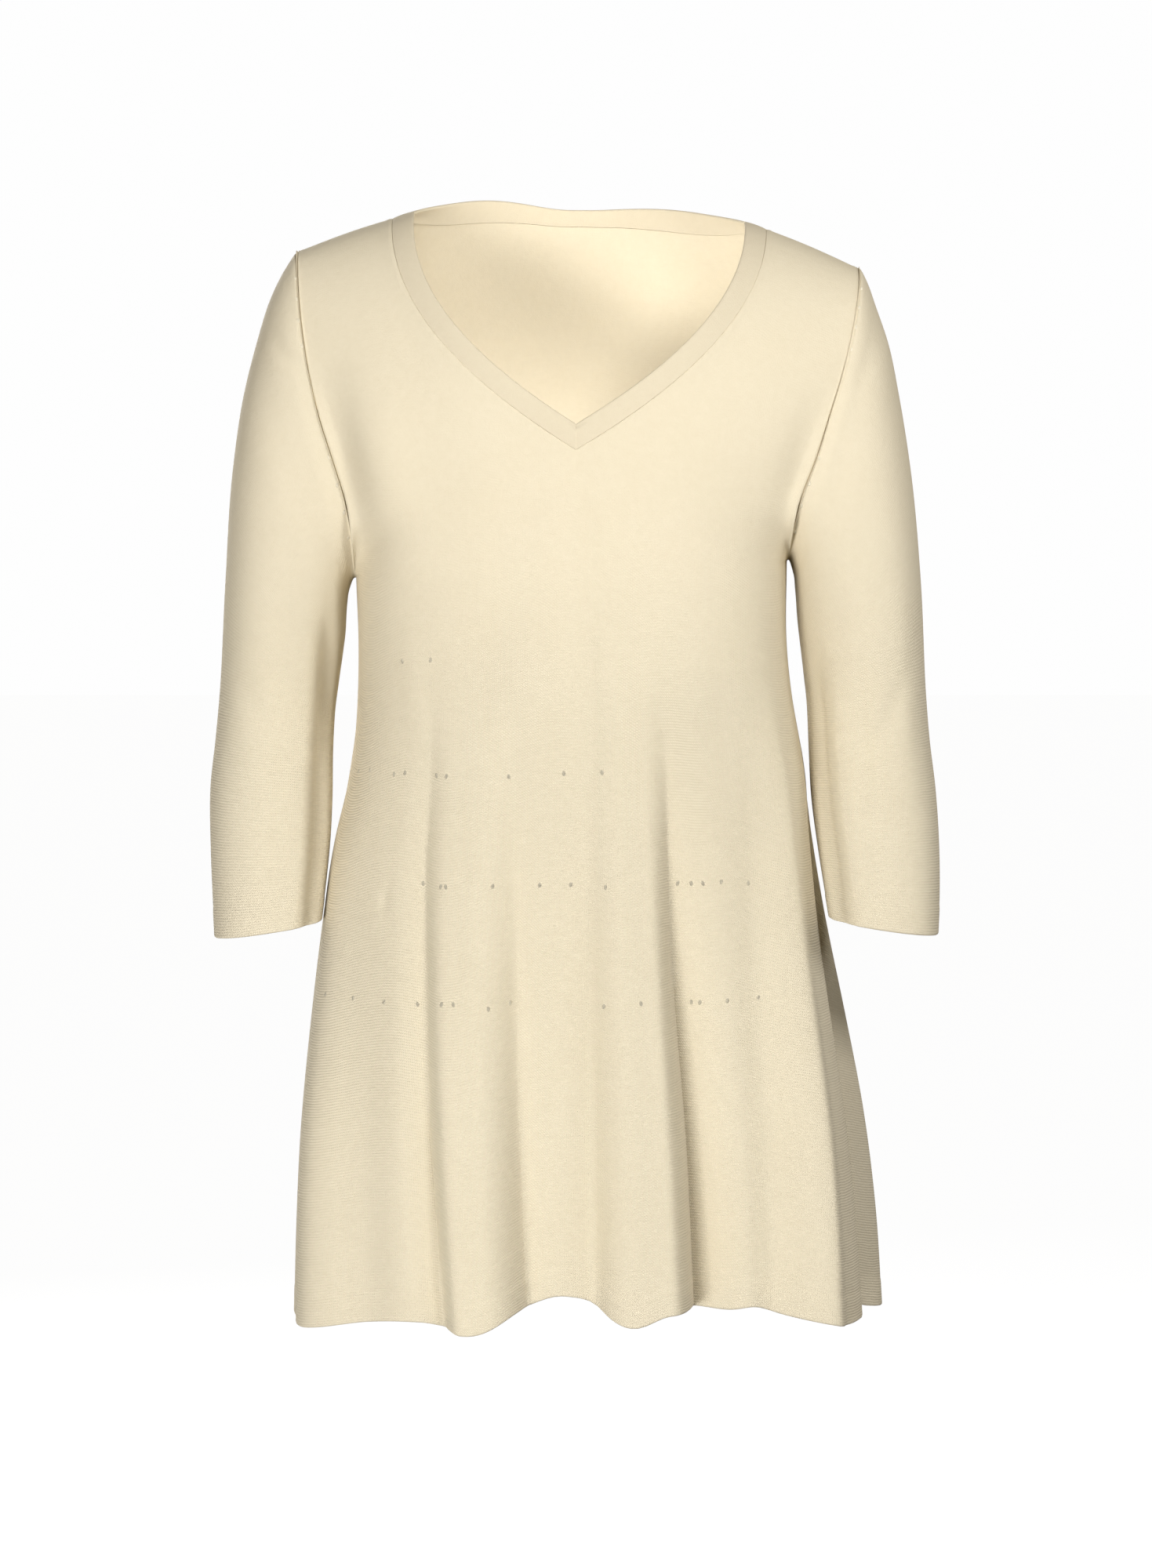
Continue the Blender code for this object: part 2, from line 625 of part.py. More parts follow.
def section_points(row, side, shares):
    """A sleeve's section at shares of its way round, from its outer edge by the front."""
    outer_x, outer_z, inner_x, inner_z, middle_y, depth, widest = row
    turn = np.linspace(0, math.pi, 181)
    along = widest * (1 - np.clip(np.cos(turn), 0, 1) ** (2 / SLEEVE_ROUND))
    along += (1 - widest) * np.clip(-np.cos(turn), 0, 1) ** (2 / SLEEVE_ROUND)
    forward = depth * np.sin(turn) ** (2 / SLEEVE_ROUND)
    x = side * (outer_x + (inner_x - outer_x) * along)
    z = outer_z + (inner_z - outer_z) * along
    lengths = np.hypot(np.hypot(np.diff(x), np.diff(z)), np.diff(forward))
    walked = np.concatenate([[0], np.cumsum(lengths)]) / lengths.sum()
    half = np.where(shares <= 1, shares, 2 - shares)
    front = np.where(shares <= 1, -1, 1)
    points = [np.interp(half, walked, x), np.interp(half, walked, forward), np.interp(half, walked, z)]
    return np.stack([points[0], middle_y + front * points[1], points[2]], axis=-1)


def sleeve_sections(side, loop):
    """Points of the sleeve's sections, one row of them for each section, and how far
    round the sleeve each point lies: 0 to 1 down the front, 1 to 2 up the back."""
    steps = np.linalg.norm(np.diff(np.vstack([loop, loop[:1]]), axis=0), axis=1)
    half = len(loop) // 2
    shares = np.concatenate([
        np.cumsum(steps[:half]) / steps[:half].sum() - steps[:half] / steps[:half].sum(),
        2 - np.cumsum(steps[half:][::-1])[::-1] / steps[half:].sum(),
    ])
    # The armhole seam bows outwards, and the sleeve loses that bow over its first sections.
    tip, foot = loop[0], loop[half]
    chord = tip[0] + (foot[0] - tip[0]) * (loop[:, 2] - tip[2]) / (foot[2] - tip[2])
    bow = np.zeros_like(loop)
    bow[:, 0] = loop[:, 0] - chord
    sections = [loop]
    for number, row in enumerate(SLEEVES[side]):
        fade = max(0.0, 1 - (number + 1) / SLEEVE_BOW_SECTIONS) ** 1.5
        sections.append(section_points(row, side, shares) + bow * fade)
    return np.array(sections), shares * math.pi


def sleeve(side, columns):
    """A tube knitted in one piece, from the armhole seam to the turned cuff."""
    patch = Patch("sleeve_" + ("right" if side < 0 else "left"))
    loop = armhole_loop(side, columns)
    sections, angle = sleeve_sections(side, loop)
    middles = sections.mean(axis=1)
    middles[0] = (loop[0] + loop[len(loop) // 2]) / 2
    places = np.concatenate([[0], np.cumsum(np.linalg.norm(np.diff(middles, axis=0), axis=1))])
    end = places[-1]
    cuff = [end - TURN_UP, end - TURN_UP + TURN_STEP, end]
    even = np.linspace(SLEEVE_STATIONS[-1], end - TURN_UP, SLEEVE_RINGS)[1:]
    stations = np.concatenate([SLEEVE_STATIONS, even, cuff[1:]])
    flat = sections.reshape(len(sections), -1)
    rings = np.array([through(stations, places, line) for line in flat.T]).T
    rings = rings.reshape(len(stations), -1, 3)
    previous = None
    for s, ring in zip(stations, rings):
        centre = ring.mean(axis=0)
        outward = ring - centre
        outward /= np.linalg.norm(outward, axis=1)[:, None]
        push = np.zeros(len(angle))
        for turn, start, stop, reach, width in SLEEVE_FOLDS:
            share = np.clip((s / end - start) / 0.25, 0, 1) * np.clip((stop - s / end) / 0.25, 0, 1)
            offset = (np.degrees(angle) - turn + 180) % 360 - 180
            push += reach * share * bump(offset, width, width)
        ring = ring + outward * push[:, None]
        wall = TURNED_WALL if s > end - TURN_UP + TURN_STEP / 2 else WALL
        numbers = patch.add(ring, wall)
        if previous:
            patch.strip(previous + previous[:1], numbers + numbers[:1], flip=side < 0)
        previous = numbers
    return patch.finish()


def unit(vectors):
    return vectors / np.linalg.norm(vectors, axis=-1, keepdims=True)


def share_seam_normals(patches):
    """Gives points that meet at a seam one direction through the cloth, halfway between
    the body's and the sleeve's, and keeps the walls upright along the shoulder seams."""
    meetings = {}
    for patch in patches:
        is_sleeve = patch.name.startswith("sleeve")
        for key, normal in zip(map(tuple, np.round(patch.points, 6)), unit(patch.normals)):
            kinds = meetings.setdefault(key, {})
            kinds[is_sleeve] = kinds.get(is_sleeve, 0) + normal
    for patch in patches:
        keys = map(tuple, np.round(patch.points, 6))
        patch.normals = np.array([sum(map(unit, meetings[key].values())) for key in keys])
        patch.normals[patch.level_normals, 1] = 0
        patch.normals = unit(patch.normals)


def rim_of(patch):
    """The edges that only one quad uses, each as that quad walks it."""
    once = {}
    for number, quad in enumerate(patch.quads):
        for a, b in zip(quad, quad[1:] + quad[:1]):
            if once.pop((b, a), None) is None:
                once[(a, b)] = number
    return once


def hold_back(patch, rim):
    """Moves the edge points half a seam gap into the piece, square to the cloth's depth."""
    inward = {}
    for (a, b), number in rim.items():
        direction = patch.points[b] - patch.points[a]
        across = np.cross(patch.face_normals[number], direction)
        across /= np.linalg.norm(across)
        for point in (a, b):
            square = across - (across @ patch.normals[point]) * patch.normals[point]
            inward.setdefault(point, []).append(square / np.linalg.norm(square))
    for point, sides in inward.items():
        total = sum(sides)
        patch.points[point] += total / max(1 + sides[0] @ sides[-1], 0.12) * SEAM_GAP / 2


def halves_of(quad, points):
    """A quad cut in two along its shorter diagonal."""
    a, b, c, d = quad
    if np.linalg.norm(points[a] - points[c]) <= np.linalg.norm(points[b] - points[d]):
        return (a, b, c), (a, c, d)
    return (a, b, d), (b, c, d)


def cloth_solid(patch):
    """A closed wall: the outer face, the inner face a thickness inside it, and the rim."""
    rim = rim_of(patch)
    hold_back(patch, rim)
    inner = patch.points - patch.normals * patch.walls[:, None]
    count = len(patch.points)
    outer = [half for quad in patch.quads for half in halves_of(quad, patch.points)]
    faces = outer + [tuple(count + i for i in reversed(half)) for half in outer]
    for a, b in rim:
        # Both pieces at a seam cut their rims from the same end, so that they stay apart.
        if patch.points[a] @ RIM_ORDER < patch.points[b] @ RIM_ORDER:
            faces += [(b, a, count + b), (a, count + a, count + b)]
        else:
            faces += [(b, a, count + a), (b, count + a, count + b)]
    mesh = bpy.data.meshes.new(patch.name)
    mesh.from_pydata(np.vstack([patch.points, inner]).tolist(), [], faces)
    mesh.update()
    mesh.shade_smooth()
    mesh.set_sharp_from_angle(angle=math.radians(60))
    mesh.materials.append(knit_material(patch.name))
    solid = bpy.data.objects.new(patch.name, mesh)
    bpy.context.scene.collection.objects.link(solid)
    return solid


def knit_material(piece):
    """The piece's own cream knit."""
    red, green, blue, roughness = KNITS[piece]
    material = bpy.data.materials.new(piece + "_knit")
    material.use_nodes = True
    shader = material.node_tree.nodes["Principled BSDF"]
    shader.inputs["Base Color"].default_value = (red, green, blue, 1.0)
    shader.inputs["Roughness"].default_value = roughness
    shader.inputs["Metallic"].default_value = 0.0
    return material


def build():
    for old in list(bpy.data.objects):
        bpy.data.objects.remove(old)
    front_columns = {side: gathered(-1, side, FRONT_HALF_COLUMNS) for side in (-1, 1)}
    columns, tops, nears = {}, {}, {}
    for side in (-1, 1):
        columns[side], tops[side], nears[side] = back_columns(side, BACK_HALF_COLUMNS)
    front = front_panel(front_columns)
    patches = [front, back_panel(columns, tops)]
    patches += [front_band(side, front.neck[side]) for side in (-1, 1)]
    patches.append(back_band(columns, tops, nears))
    patches += [sleeve(side, columns) for side in (-1, 1)]
    share_seam_normals(patches)
    for patch in patches:
        cloth_solid(patch)


build()
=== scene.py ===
"""A cream fine-knit V-neck tunic top, filled out as it is when worn.

Metres, +X to the wearer's left, -Y to the front, +Z up, origin in the middle of the shoulder
line. Each knitted piece is a surface worked out on a grid and given its cloth thickness; the
knit itself is in the materials, on each piece's own courses and wales.
"""

import math

import bpy
import numpy as np
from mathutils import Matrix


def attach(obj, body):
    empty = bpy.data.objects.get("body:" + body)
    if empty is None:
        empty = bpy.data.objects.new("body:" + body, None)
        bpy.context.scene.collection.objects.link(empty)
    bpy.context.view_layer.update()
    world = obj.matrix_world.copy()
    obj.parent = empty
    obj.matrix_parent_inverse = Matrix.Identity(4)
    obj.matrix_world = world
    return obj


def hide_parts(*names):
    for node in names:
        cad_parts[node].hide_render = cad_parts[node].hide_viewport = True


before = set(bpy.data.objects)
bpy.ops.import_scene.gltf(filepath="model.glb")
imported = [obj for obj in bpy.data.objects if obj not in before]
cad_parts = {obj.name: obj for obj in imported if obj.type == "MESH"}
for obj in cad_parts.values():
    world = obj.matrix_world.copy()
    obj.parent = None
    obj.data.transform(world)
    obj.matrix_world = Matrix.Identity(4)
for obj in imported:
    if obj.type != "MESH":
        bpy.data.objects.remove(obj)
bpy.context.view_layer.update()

# Cloth and seams
WALL = 0.0018
TURNED_WALL = 0.0030
BAND_WALL = 0.0022
SEAM_GAP = 0.0003
TURN_UP = 0.018

# Levels of the worn body, from the shoulder line down; side -1 is the wearer's right
UNDERARM_Z = {-1: -0.249, 1: -0.237}
UNDERARM_MIDDLE_Z = -0.243
BUST_Z = -0.185
TIP_Z = {-1: -0.0235, 1: -0.035}
NECK_TOP_Z = 0.14

# Roundness of the rings and of the dome, the armhole's depth and the shoulders' ridge
RING_ROUND = 2.2
BUST_ROUND = 2.6
FRONT_ROUND = 2.8
CHEST_ROUND = 2.4
CENTRE_DOME = 1.6
ARMHOLE_DOME = 2.0
ARMHOLE_FRONT = 0.066
ARMHOLE_BACK = 0.062
RIDGE_SLOPE = {-1: 0.40, 1: 0.46}
RIDGE_SOFT = 0.2
NECK_POINT = 0.62
NECK_RISE = 2.0
SHOULDER_SWELL = 0.009

# The V neck and its band
NECK_HALF = {-1: 0.113, 1: 0.118}
V_DEPTH = 0.147
V_CURVE = 2.1
BAND_WIDTH = 0.014
BAND_MITRE = 0.0165
BACK_NECK_Y = 0.0667
BACK_SEAM_Y = 0.0695
BACK_NECK_ROUND = {-1: 2.12, 1: 2.2}

# How finely the surfaces are worked out
FRONT_HALF_COLUMNS = 96
BACK_HALF_COLUMNS = 92
SKIRT_RINGS = 120
UNDERARM_RINGS = 16
DOME_RINGS = 52
SLEEVE_RINGS = 120
BAND_ROWS = 9
DRIFT_Z = -0.36
DRIFT_END_Z = -0.26
EDGE_STEPS = np.array([0.0, 0.0007, 0.0015, 0.0025, 0.0038, 0.0056])
HEM_STEPS = np.array([0.0, 0.0012, 0.0026, 0.006, 0.011, 0.0155, 0.0172, 0.018, 0.0188, 0.0205])

# Body under the arms: height, half width at the wearer's right and left, front and back depth
TORSO = (
    (-0.185, 0.1560, 0.1530, 0.1130, 0.0960),
    (-0.237, 0.1528, 0.1464, 0.1130, 0.0935),
    (-0.249, 0.1526, 0.1462, 0.1128, 0.0930),
    (-0.295, 0.1512, 0.1464, 0.1110, 0.0900),
    (-0.330, 0.1518, 0.1500, 0.1095, 0.0900),
    (-0.361, 0.1540, 0.1555, 0.1100, 0.0930),
    (-0.394, 0.1600, 0.1620, 0.1120, 0.0990),
    (-0.430, 0.1690, 0.1660, 0.1160, 0.1070),
    (-0.490, 0.1785, 0.1730, 0.1240, 0.1180),
    (-0.560, 0.1870, 0.1835, 0.1330, 0.1280),
    (-0.630, 0.1935, 0.1940, 0.1410, 0.1370),
    (-0.700, 0.1970, 0.2015, 0.1480, 0.1450),
    (-0.780, 0.1990, 0.2070, 0.1540, 0.1530),
)

# Armhole seam from the underarm to the shoulder tip: height, distance out at right and left
ARMHOLE = (
    (-0.249, 0.1526, 0.1462),
    (-0.237, 0.1528, 0.1464),
    (-0.222, 0.1536, 0.1476),
    (-0.200, 0.1566, 0.1518),
    (-0.170, 0.1655, 0.1630),
    (-0.140, 0.1750, 0.1725),
    (-0.110, 0.1820, 0.1820),
    (-0.080, 0.1872, 0.1895),
    (-0.050, 0.1905, 0.1945),
    (-0.0235, 0.1925, 0.1958),
)

# Folds of the flare. Turn is in degrees round the body: 0 at the front, 90 at the wearer's
# left, 180 at the back. Columns: turn at the top, turn at the hem, height where it starts,
# reach at the hem (out is positive), width before and after, lean along the ring, crispness.
FOLDS = (
    (-70.0, -64.0, -0.40, 0.008, 15.0, 14.0, 0.0, 0.0),
    (-50.0, -44.0, -0.46, -0.005, 12.0, 12.0, 0.0, 0.0),
    (42.0, 41.0, -0.42, -0.004, 14.0, 14.0, 0.0, 0.0),
    (62.0, 56.0, -0.36, 0.010, 14.0, 8.0, 0.0, 0.2),
    (88.0, 86.0, -0.37, -0.026, 13.0, 12.0, -0.2, 0.3),
    (106.0, 108.0, -0.36, 0.024, 13.0, 15.0, 0.0, 0.0),
    (128.0, 130.0, -0.33, -0.026, 10.0, 12.0, 0.3, 0.6),
    (150.0, 152.0, -0.40, -0.018, 9.0, 9.0, -0.3, 0.5),
    (172.0, 171.0, -0.33, -0.030, 11.0, 10.0, -0.4, 0.7),
    (-167.0, -168.0, -0.41, -0.014, 8.0, 8.0, 0.0, 0.4),
    (-146.0, -148.0, -0.33, -0.032, 11.0, 11.0, 0.4, 0.7),
    (-125.0, -127.0, -0.39, -0.018, 9.0, 9.0, 0.0, 0.4),
    (-108.0, -109.0, -0.38, 0.008, 10.0, 10.0, 0.0, 0.0),
    (-92.0, -92.0, -0.37, -0.014, 10.0, 11.0, 0.2, 0.2),
)

# Walls of the front's flutes, where the cloth steps in or out. Columns: turns where the wall
# starts and ends at the top, and at the hem, height where it begins, step at the hem (out is
# positive), and which end is a sharp crease: -1 the start, 0 neither, 1 the end.
WALLS = (
    (-49.0, -39.5, -32.0, -24.8, -0.30, -0.009, 0.5),
    (-39.5, -32.0, -24.8, -20.4, -0.30, 0.017, -0.5),
    (-25.0, -14.5, -16.0, -7.8, -0.33, -0.031, 0.9),
    (-5.0, 1.8, -2.0, 2.7, -0.36, -0.003, 0.8),
    (1.8, 10.0, 2.7, 8.4, -0.36, 0.020, -0.7),
    (14.0, 20.5, 16.6, 23.2, -0.31, -0.039, 0.6),
    (21.0, 42.0, 23.6, 38.0, -0.34, 0.025, -0.3),
)
# The wall after them, which brings the ring back to where it was before the first: its turns
CLOSING_WALL = (46.0, 64.0, 42.0, 62.0)

# Hem edge: turn in degrees, height
HEM = (
    (-180.0, -0.766),
    (-148.0, -0.758),
    (-120.0, -0.766),
    (-92.0, -0.757),
    (-64.0, -0.758),
    (-44.0, -0.749),
    (-30.0, -0.746),
    (-17.5, -0.752),
    (-9.0, -0.7385),
    (-1.5, -0.731),
    (2.2, -0.735),
    (5.3, -0.7445),
    (8.8, -0.7495),
    (15.7, -0.742),
    (23.5, -0.742),
    (31.0, -0.743),
    (37.0, -0.741),
    (47.0, -0.748),
    (60.0, -0.756),
    (86.0, -0.757),
    (108.0, -0.771),
    (130.0, -0.758),
    (152.0, -0.766),
    (180.0, -0.766),
)

# Sleeves, one row a section: outer edge out and height, inner edge out and height, the
# section's middle to the back, its half depth, and where it is widest on the way inwards
SLEEVES = {
    -1: (
        (0.1975, -0.029, 0.1568, -0.2530, 0.000, 0.066, 0.71),
        (0.2037, -0.039, 0.1590, -0.2600, 0.000, 0.066, 0.68),
        (0.2115, -0.055, 0.1600, -0.2680, 0.000, 0.065, 0.65),
        (0.2218, -0.087, 0.1606, -0.2770, 0.000, 0.064, 0.62),
        (0.2307, -0.122, 0.1610, -0.2870, 0.000, 0.063, 0.58),
        (0.2385, -0.172, 0.1626, -0.3000, 0.001, 0.061, 0.54),
        (0.2445, -0.252, 0.1660, -0.3230, 0.003, 0.057, 0.50),
        (0.2490, -0.330, 0.1692, -0.3500, 0.004, 0.053, 0.50),
        (0.2518, -0.362, 0.1700, -0.3720, 0.000, 0.050, 0.50),
        (0.2548, -0.395, 0.1700, -0.4020, -0.008, 0.048, 0.50),
        (0.2540, -0.435, 0.1712, -0.4350, -0.018, 0.045, 0.50),
        (0.2520, -0.470, 0.1738, -0.4640, -0.027, 0.042, 0.50),
        (0.2502, -0.4965, 0.1761, -0.4855, -0.034, 0.040, 0.50),
    ),
    1: (
        (0.1992, -0.039, 0.1503, -0.2410, 0.000, 0.066, 0.71),
        (0.2025, -0.046, 0.1523, -0.2485, 0.000, 0.066, 0.68),
        (0.2075, -0.060, 0.1531, -0.2570, 0.000, 0.065, 0.65),
        (0.2168, -0.087, 0.1538, -0.2660, 0.000, 0.064, 0.62),
        (0.2242, -0.122, 0.1544, -0.2760, 0.000, 0.063, 0.58),
        (0.2325, -0.172, 0.1558, -0.2890, 0.001, 0.061, 0.54),
        (0.2405, -0.252, 0.1590, -0.3150, 0.003, 0.057, 0.50),
        (0.2446, -0.330, 0.1620, -0.3450, 0.004, 0.053, 0.50),
        (0.2470, -0.362, 0.1628, -0.3700, 0.000, 0.050, 0.50),
        (0.2505, -0.395, 0.1640, -0.4000, -0.008, 0.048, 0.50),
        (0.2525, -0.435, 0.1680, -0.4350, -0.018, 0.045, 0.50),
        (0.2522, -0.470, 0.1722, -0.4640, -0.027, 0.042, 0.50),
        (0.2507, -0.4945, 0.1751, -0.4835, -0.034, 0.040, 0.50),
    ),
}
SLEEVE_ROUND = 2.1
SLEEVE_BOW_SECTIONS = 7
SLEEVE_STATIONS = (0.0, 0.0007, 0.0014, 0.0021, 0.0028, 0.0037, 0.005, 0.0068, 0.009)

# Folds along a sleeve: turn from its outer edge towards the front, start and end as shares
# of its length, reach and half width in degrees
SLEEVE_FOLDS = {
    -1: (
        (119.0, 0.20, 1.15, 0.0045, 20.0),
        (147.0, 0.16, 1.15, -0.0050, 18.0),
        (235.0, 0.15, 0.95, -0.0030, 24.0),
        (285.0, 0.30, 1.10, 0.0020, 20.0),
    ),
    1: (
        (116.0, 0.42, 1.15, 0.0035, 18.0),
        (146.0, 0.36, 1.15, -0.0050, 17.0),
        (60.0, 0.40, 0.80, 0.0010, 18.0),
        (245.0, 0.20, 1.00, -0.0035, 22.0),
    ),
}

# Creases, seen from the front: piece, side of the body it is on (-1 the front, 1 the back),
# start and end as distance out and height, reach (out is positive), half width
CREASES = (
    ("sleeve_right", -1, -0.2094, -0.0850, -0.1800, -0.1170, -0.0016, 0.0060),
    ("sleeve_right", -1, -0.2067, -0.0690, -0.1869, -0.0955, 0.0008, 0.0090),
    ("sleeve_right", -1, -0.2320, -0.3160, -0.2060, -0.3680, -0.0009, 0.0080),
    ("sleeve_right", -1, -0.2010, -0.3560, -0.1830, -0.3700, 0.0010, 0.0050),
    ("sleeve_right", 1, -0.2250, -0.3900, -0.1900, -0.3500, -0.0020, 0.0060),
    ("sleeve_right", 1, -0.2100, -0.3450, -0.1850, -0.3250, -0.0014, 0.0050),
    ("sleeve_right", 1, -0.2050, -0.1250, -0.1780, -0.1550, -0.0018, 0.0070),
    ("sleeve_left", -1, 0.1970, -0.3380, 0.2002, -0.3760, -0.0016, 0.0038),
    ("sleeve_left", -1, 0.1740, -0.3670, 0.1860, -0.3610, 0.0014, 0.0040),
    ("sleeve_left", -1, 0.2293, -0.3114, 0.2060, -0.3690, -0.0015, 0.0070),
    ("sleeve_left", -1, 0.2040, -0.0900, 0.1880, -0.1250, -0.0008, 0.0070),
    ("sleeve_left", 1, 0.2280, -0.3950, 0.1890, -0.3560, -0.0018, 0.0060),
    ("sleeve_left", 1, 0.2120, -0.3420, 0.1800, -0.3290, -0.0013, 0.0050),
    ("sleeve_left", 1, 0.2030, -0.1150, 0.1800, -0.1450, -0.0020, 0.0070),
    ("front_panel", -1, -0.1680, -0.1150, -0.1450, -0.2350, -0.0045, 0.0150),
    ("front_panel", -1, -0.1430, -0.1250, -0.1180, -0.2350, 0.0055, 0.0230),
    ("front_panel", -1, 0.1640, -0.1300, 0.1400, -0.2200, -0.0030, 0.0120),
    ("front_panel", -1, -0.1286, -0.4600, -0.1312, -0.4760, -0.0013, 0.0030),
    ("front_panel", -1, -0.1490, -0.2320, -0.1160, -0.2120, -0.0010, 0.0070),
    ("front_panel", -1, 0.1430, -0.2250, 0.1130, -0.2080, -0.0009, 0.0070),
    ("front_panel", -1, -0.1150, -0.2900, -0.1020, -0.3650, 0.0009, 0.0090),
    ("front_panel", -1, 0.0960, -0.3150, 0.1010, -0.3700, -0.0008, 0.0080),
    ("back_panel", 1, -0.1460, -0.2300, -0.1080, -0.2000, -0.0016, 0.0070),
    ("back_panel", 1, 0.1420, -0.2200, 0.1060, -0.1960, -0.0014, 0.0070),
    ("back_panel", 1, -0.0900, -0.2950, -0.0200, -0.3120, -0.0010, 0.0090),
    ("back_panel", 1, 0.0980, -0.3000, 0.0350, -0.3230, -0.0012, 0.0090),
)

# Raised stitches where the flare was widened: height, and distances out along that row
FRONT_MARKS = (
    (-0.306, (-0.118, -0.099)),
    (-0.381, (-0.150, -0.141, -0.124, -0.116, -0.094, -0.088, -0.044, -0.008, 0.018)),
    (-0.457, (-0.104, -0.092, -0.089, -0.056, -0.026, -0.004, 0.019,
              0.069, 0.078, 0.085, 0.098, 0.117)),
    (-0.536, (-0.172, -0.152, -0.130, -0.107, -0.091, -0.081, -0.058, -0.044, 0.020,
              0.043, 0.077, 0.084, 0.102, 0.125)),
)
BACK_MARKS = (
    (-0.306, (-0.094, 0.087)),
    (-0.383, (-0.128, -0.097, -0.062, -0.021, 0.034, 0.071, 0.089, 0.123)),
    (-0.460, (-0.139, -0.118, -0.091, -0.053, -0.017, 0.012, 0.047, 0.066, 0.103, 0.131)),
    (-0.539, (-0.161, -0.133, -0.104, -0.075, -0.042, -0.009, 0.031, 0.058, 0.096, 0.128, 0.155)),
)
# The same beside each armhole: distance from the seam, and shares of the way round it
SLEEVE_MARKS = (0.010, (0.13, 0.19, 0.25, 0.31, 0.60, 0.66, 0.72, 0.79, 1.24, 1.31, 1.38, 1.70, 1.77))
MARK_SIZE = (0.0026, 0.0040, 0.0009)


def through(x, knots, values):
    """A smooth curve through the knots: a cubic on each span, its slopes the chords' own."""
    knots, values = np.asarray(knots, float), np.asarray(values, float)
    slopes = np.gradient(values, knots, axis=0)
    x = np.clip(x, knots[0], knots[-1])
    i = np.clip(np.searchsorted(knots, x) - 1, 0, len(knots) - 2)
    span = knots[i + 1] - knots[i]
    s = (x - knots[i]) / span
    if values.ndim > 1:
        s, span = s[:, None], span[:, None]
    start, end = values[i], values[i + 1]
    rise = end - start
    first, last = slopes[i] * span, slopes[i + 1] * span
    return start + s * (first + s * (3 * rise - 2 * first - last + s * (first + last - 2 * rise)))


def column(table, z, index):
    """One column of a table of heights, read at the heights z."""
    rows = np.array(sorted(table))
    return through(z, rows[:, 0], rows[:, index])


def side_column(side):
    return 1 if side < 0 else 2


def bump(offset, before, after, crisp=0.0):
    """A hump of height 1 that falls to 0 at its two widths: a squared cosine, or where it is
    crisp a cusp, (1 - distance) to the power 1.8, with its tip rounded."""
    share = np.clip(np.abs(offset) / np.where(offset < 0, before, after), 0, 1)
    soft = np.cos(share * math.pi / 2) ** 2
    cusp = (1 - np.clip(np.sqrt(share**2 + 0.006) - 0.07, 0, 1)) ** 1.8
    return soft + (cusp - soft) * crisp


def step_up(x, start, end):
    s = np.clip((x - start) / (end - start), 0, 1)
    return s * s * (3 - 2 * s)


def fold_reach(turn, z):
    """How far the folds push the ring out, and along itself, at each turn and height."""
    out, along = np.zeros_like(turn + z), np.zeros_like(turn + z)
    for top_turn, hem_turn, top_z, reach, before, after, lean, crisp in FOLDS:
        down = np.clip((top_z - z) / (top_z + 0.75), 0, 1)
        centre = top_turn + (hem_turn - top_turn) * down
        offset = (turn - centre + 180) % 360 - 180
        push = reach * np.sin(down * math.pi / 2) ** 1.2 * bump(offset, before, after, crisp)
        out += push
        along += lean * np.abs(push)
    total = 0.0
    for top_start, top_end, hem_start, hem_end, top_z, step, sharp in WALLS:
        down = np.clip((top_z - z) / (top_z + 0.75), 0, 1)
        start = top_start + (hem_start - top_start) * down
        end = top_end + (hem_end - top_end) * down
        share = np.clip((turn - start) / (end - start), 0, 1)
        soft = share * share * (3 - 2 * share)
        keen = share**2.6 if sharp > 0 else 1 - (1 - share) ** 2.6
        reach = step * np.sin(down * math.pi / 2) ** 1.2
        out += reach * (soft + (keen - soft) * abs(sharp))
        total = total + reach
    down = np.clip((-0.30 - z) / 0.45, 0, 1)
    top_start, top_end, hem_start, hem_end = CLOSING_WALL
    start = top_start + (hem_start - top_start) * down
    end = top_end + (hem_end - top_end) * down
    out -= total * step_up(turn, start, end)
    return out, along


def hem_height(turn):
    turns, heights = zip(*HEM)
    return through(turn, turns, heights)


def underarm_height(side, across):
    """Height of the ring through the underarms, which is not the same at both sides."""
    return UNDERARM_MIDDLE_Z + (UNDERARM_Z[side] - UNDERARM_MIDDLE_Z) * across * across


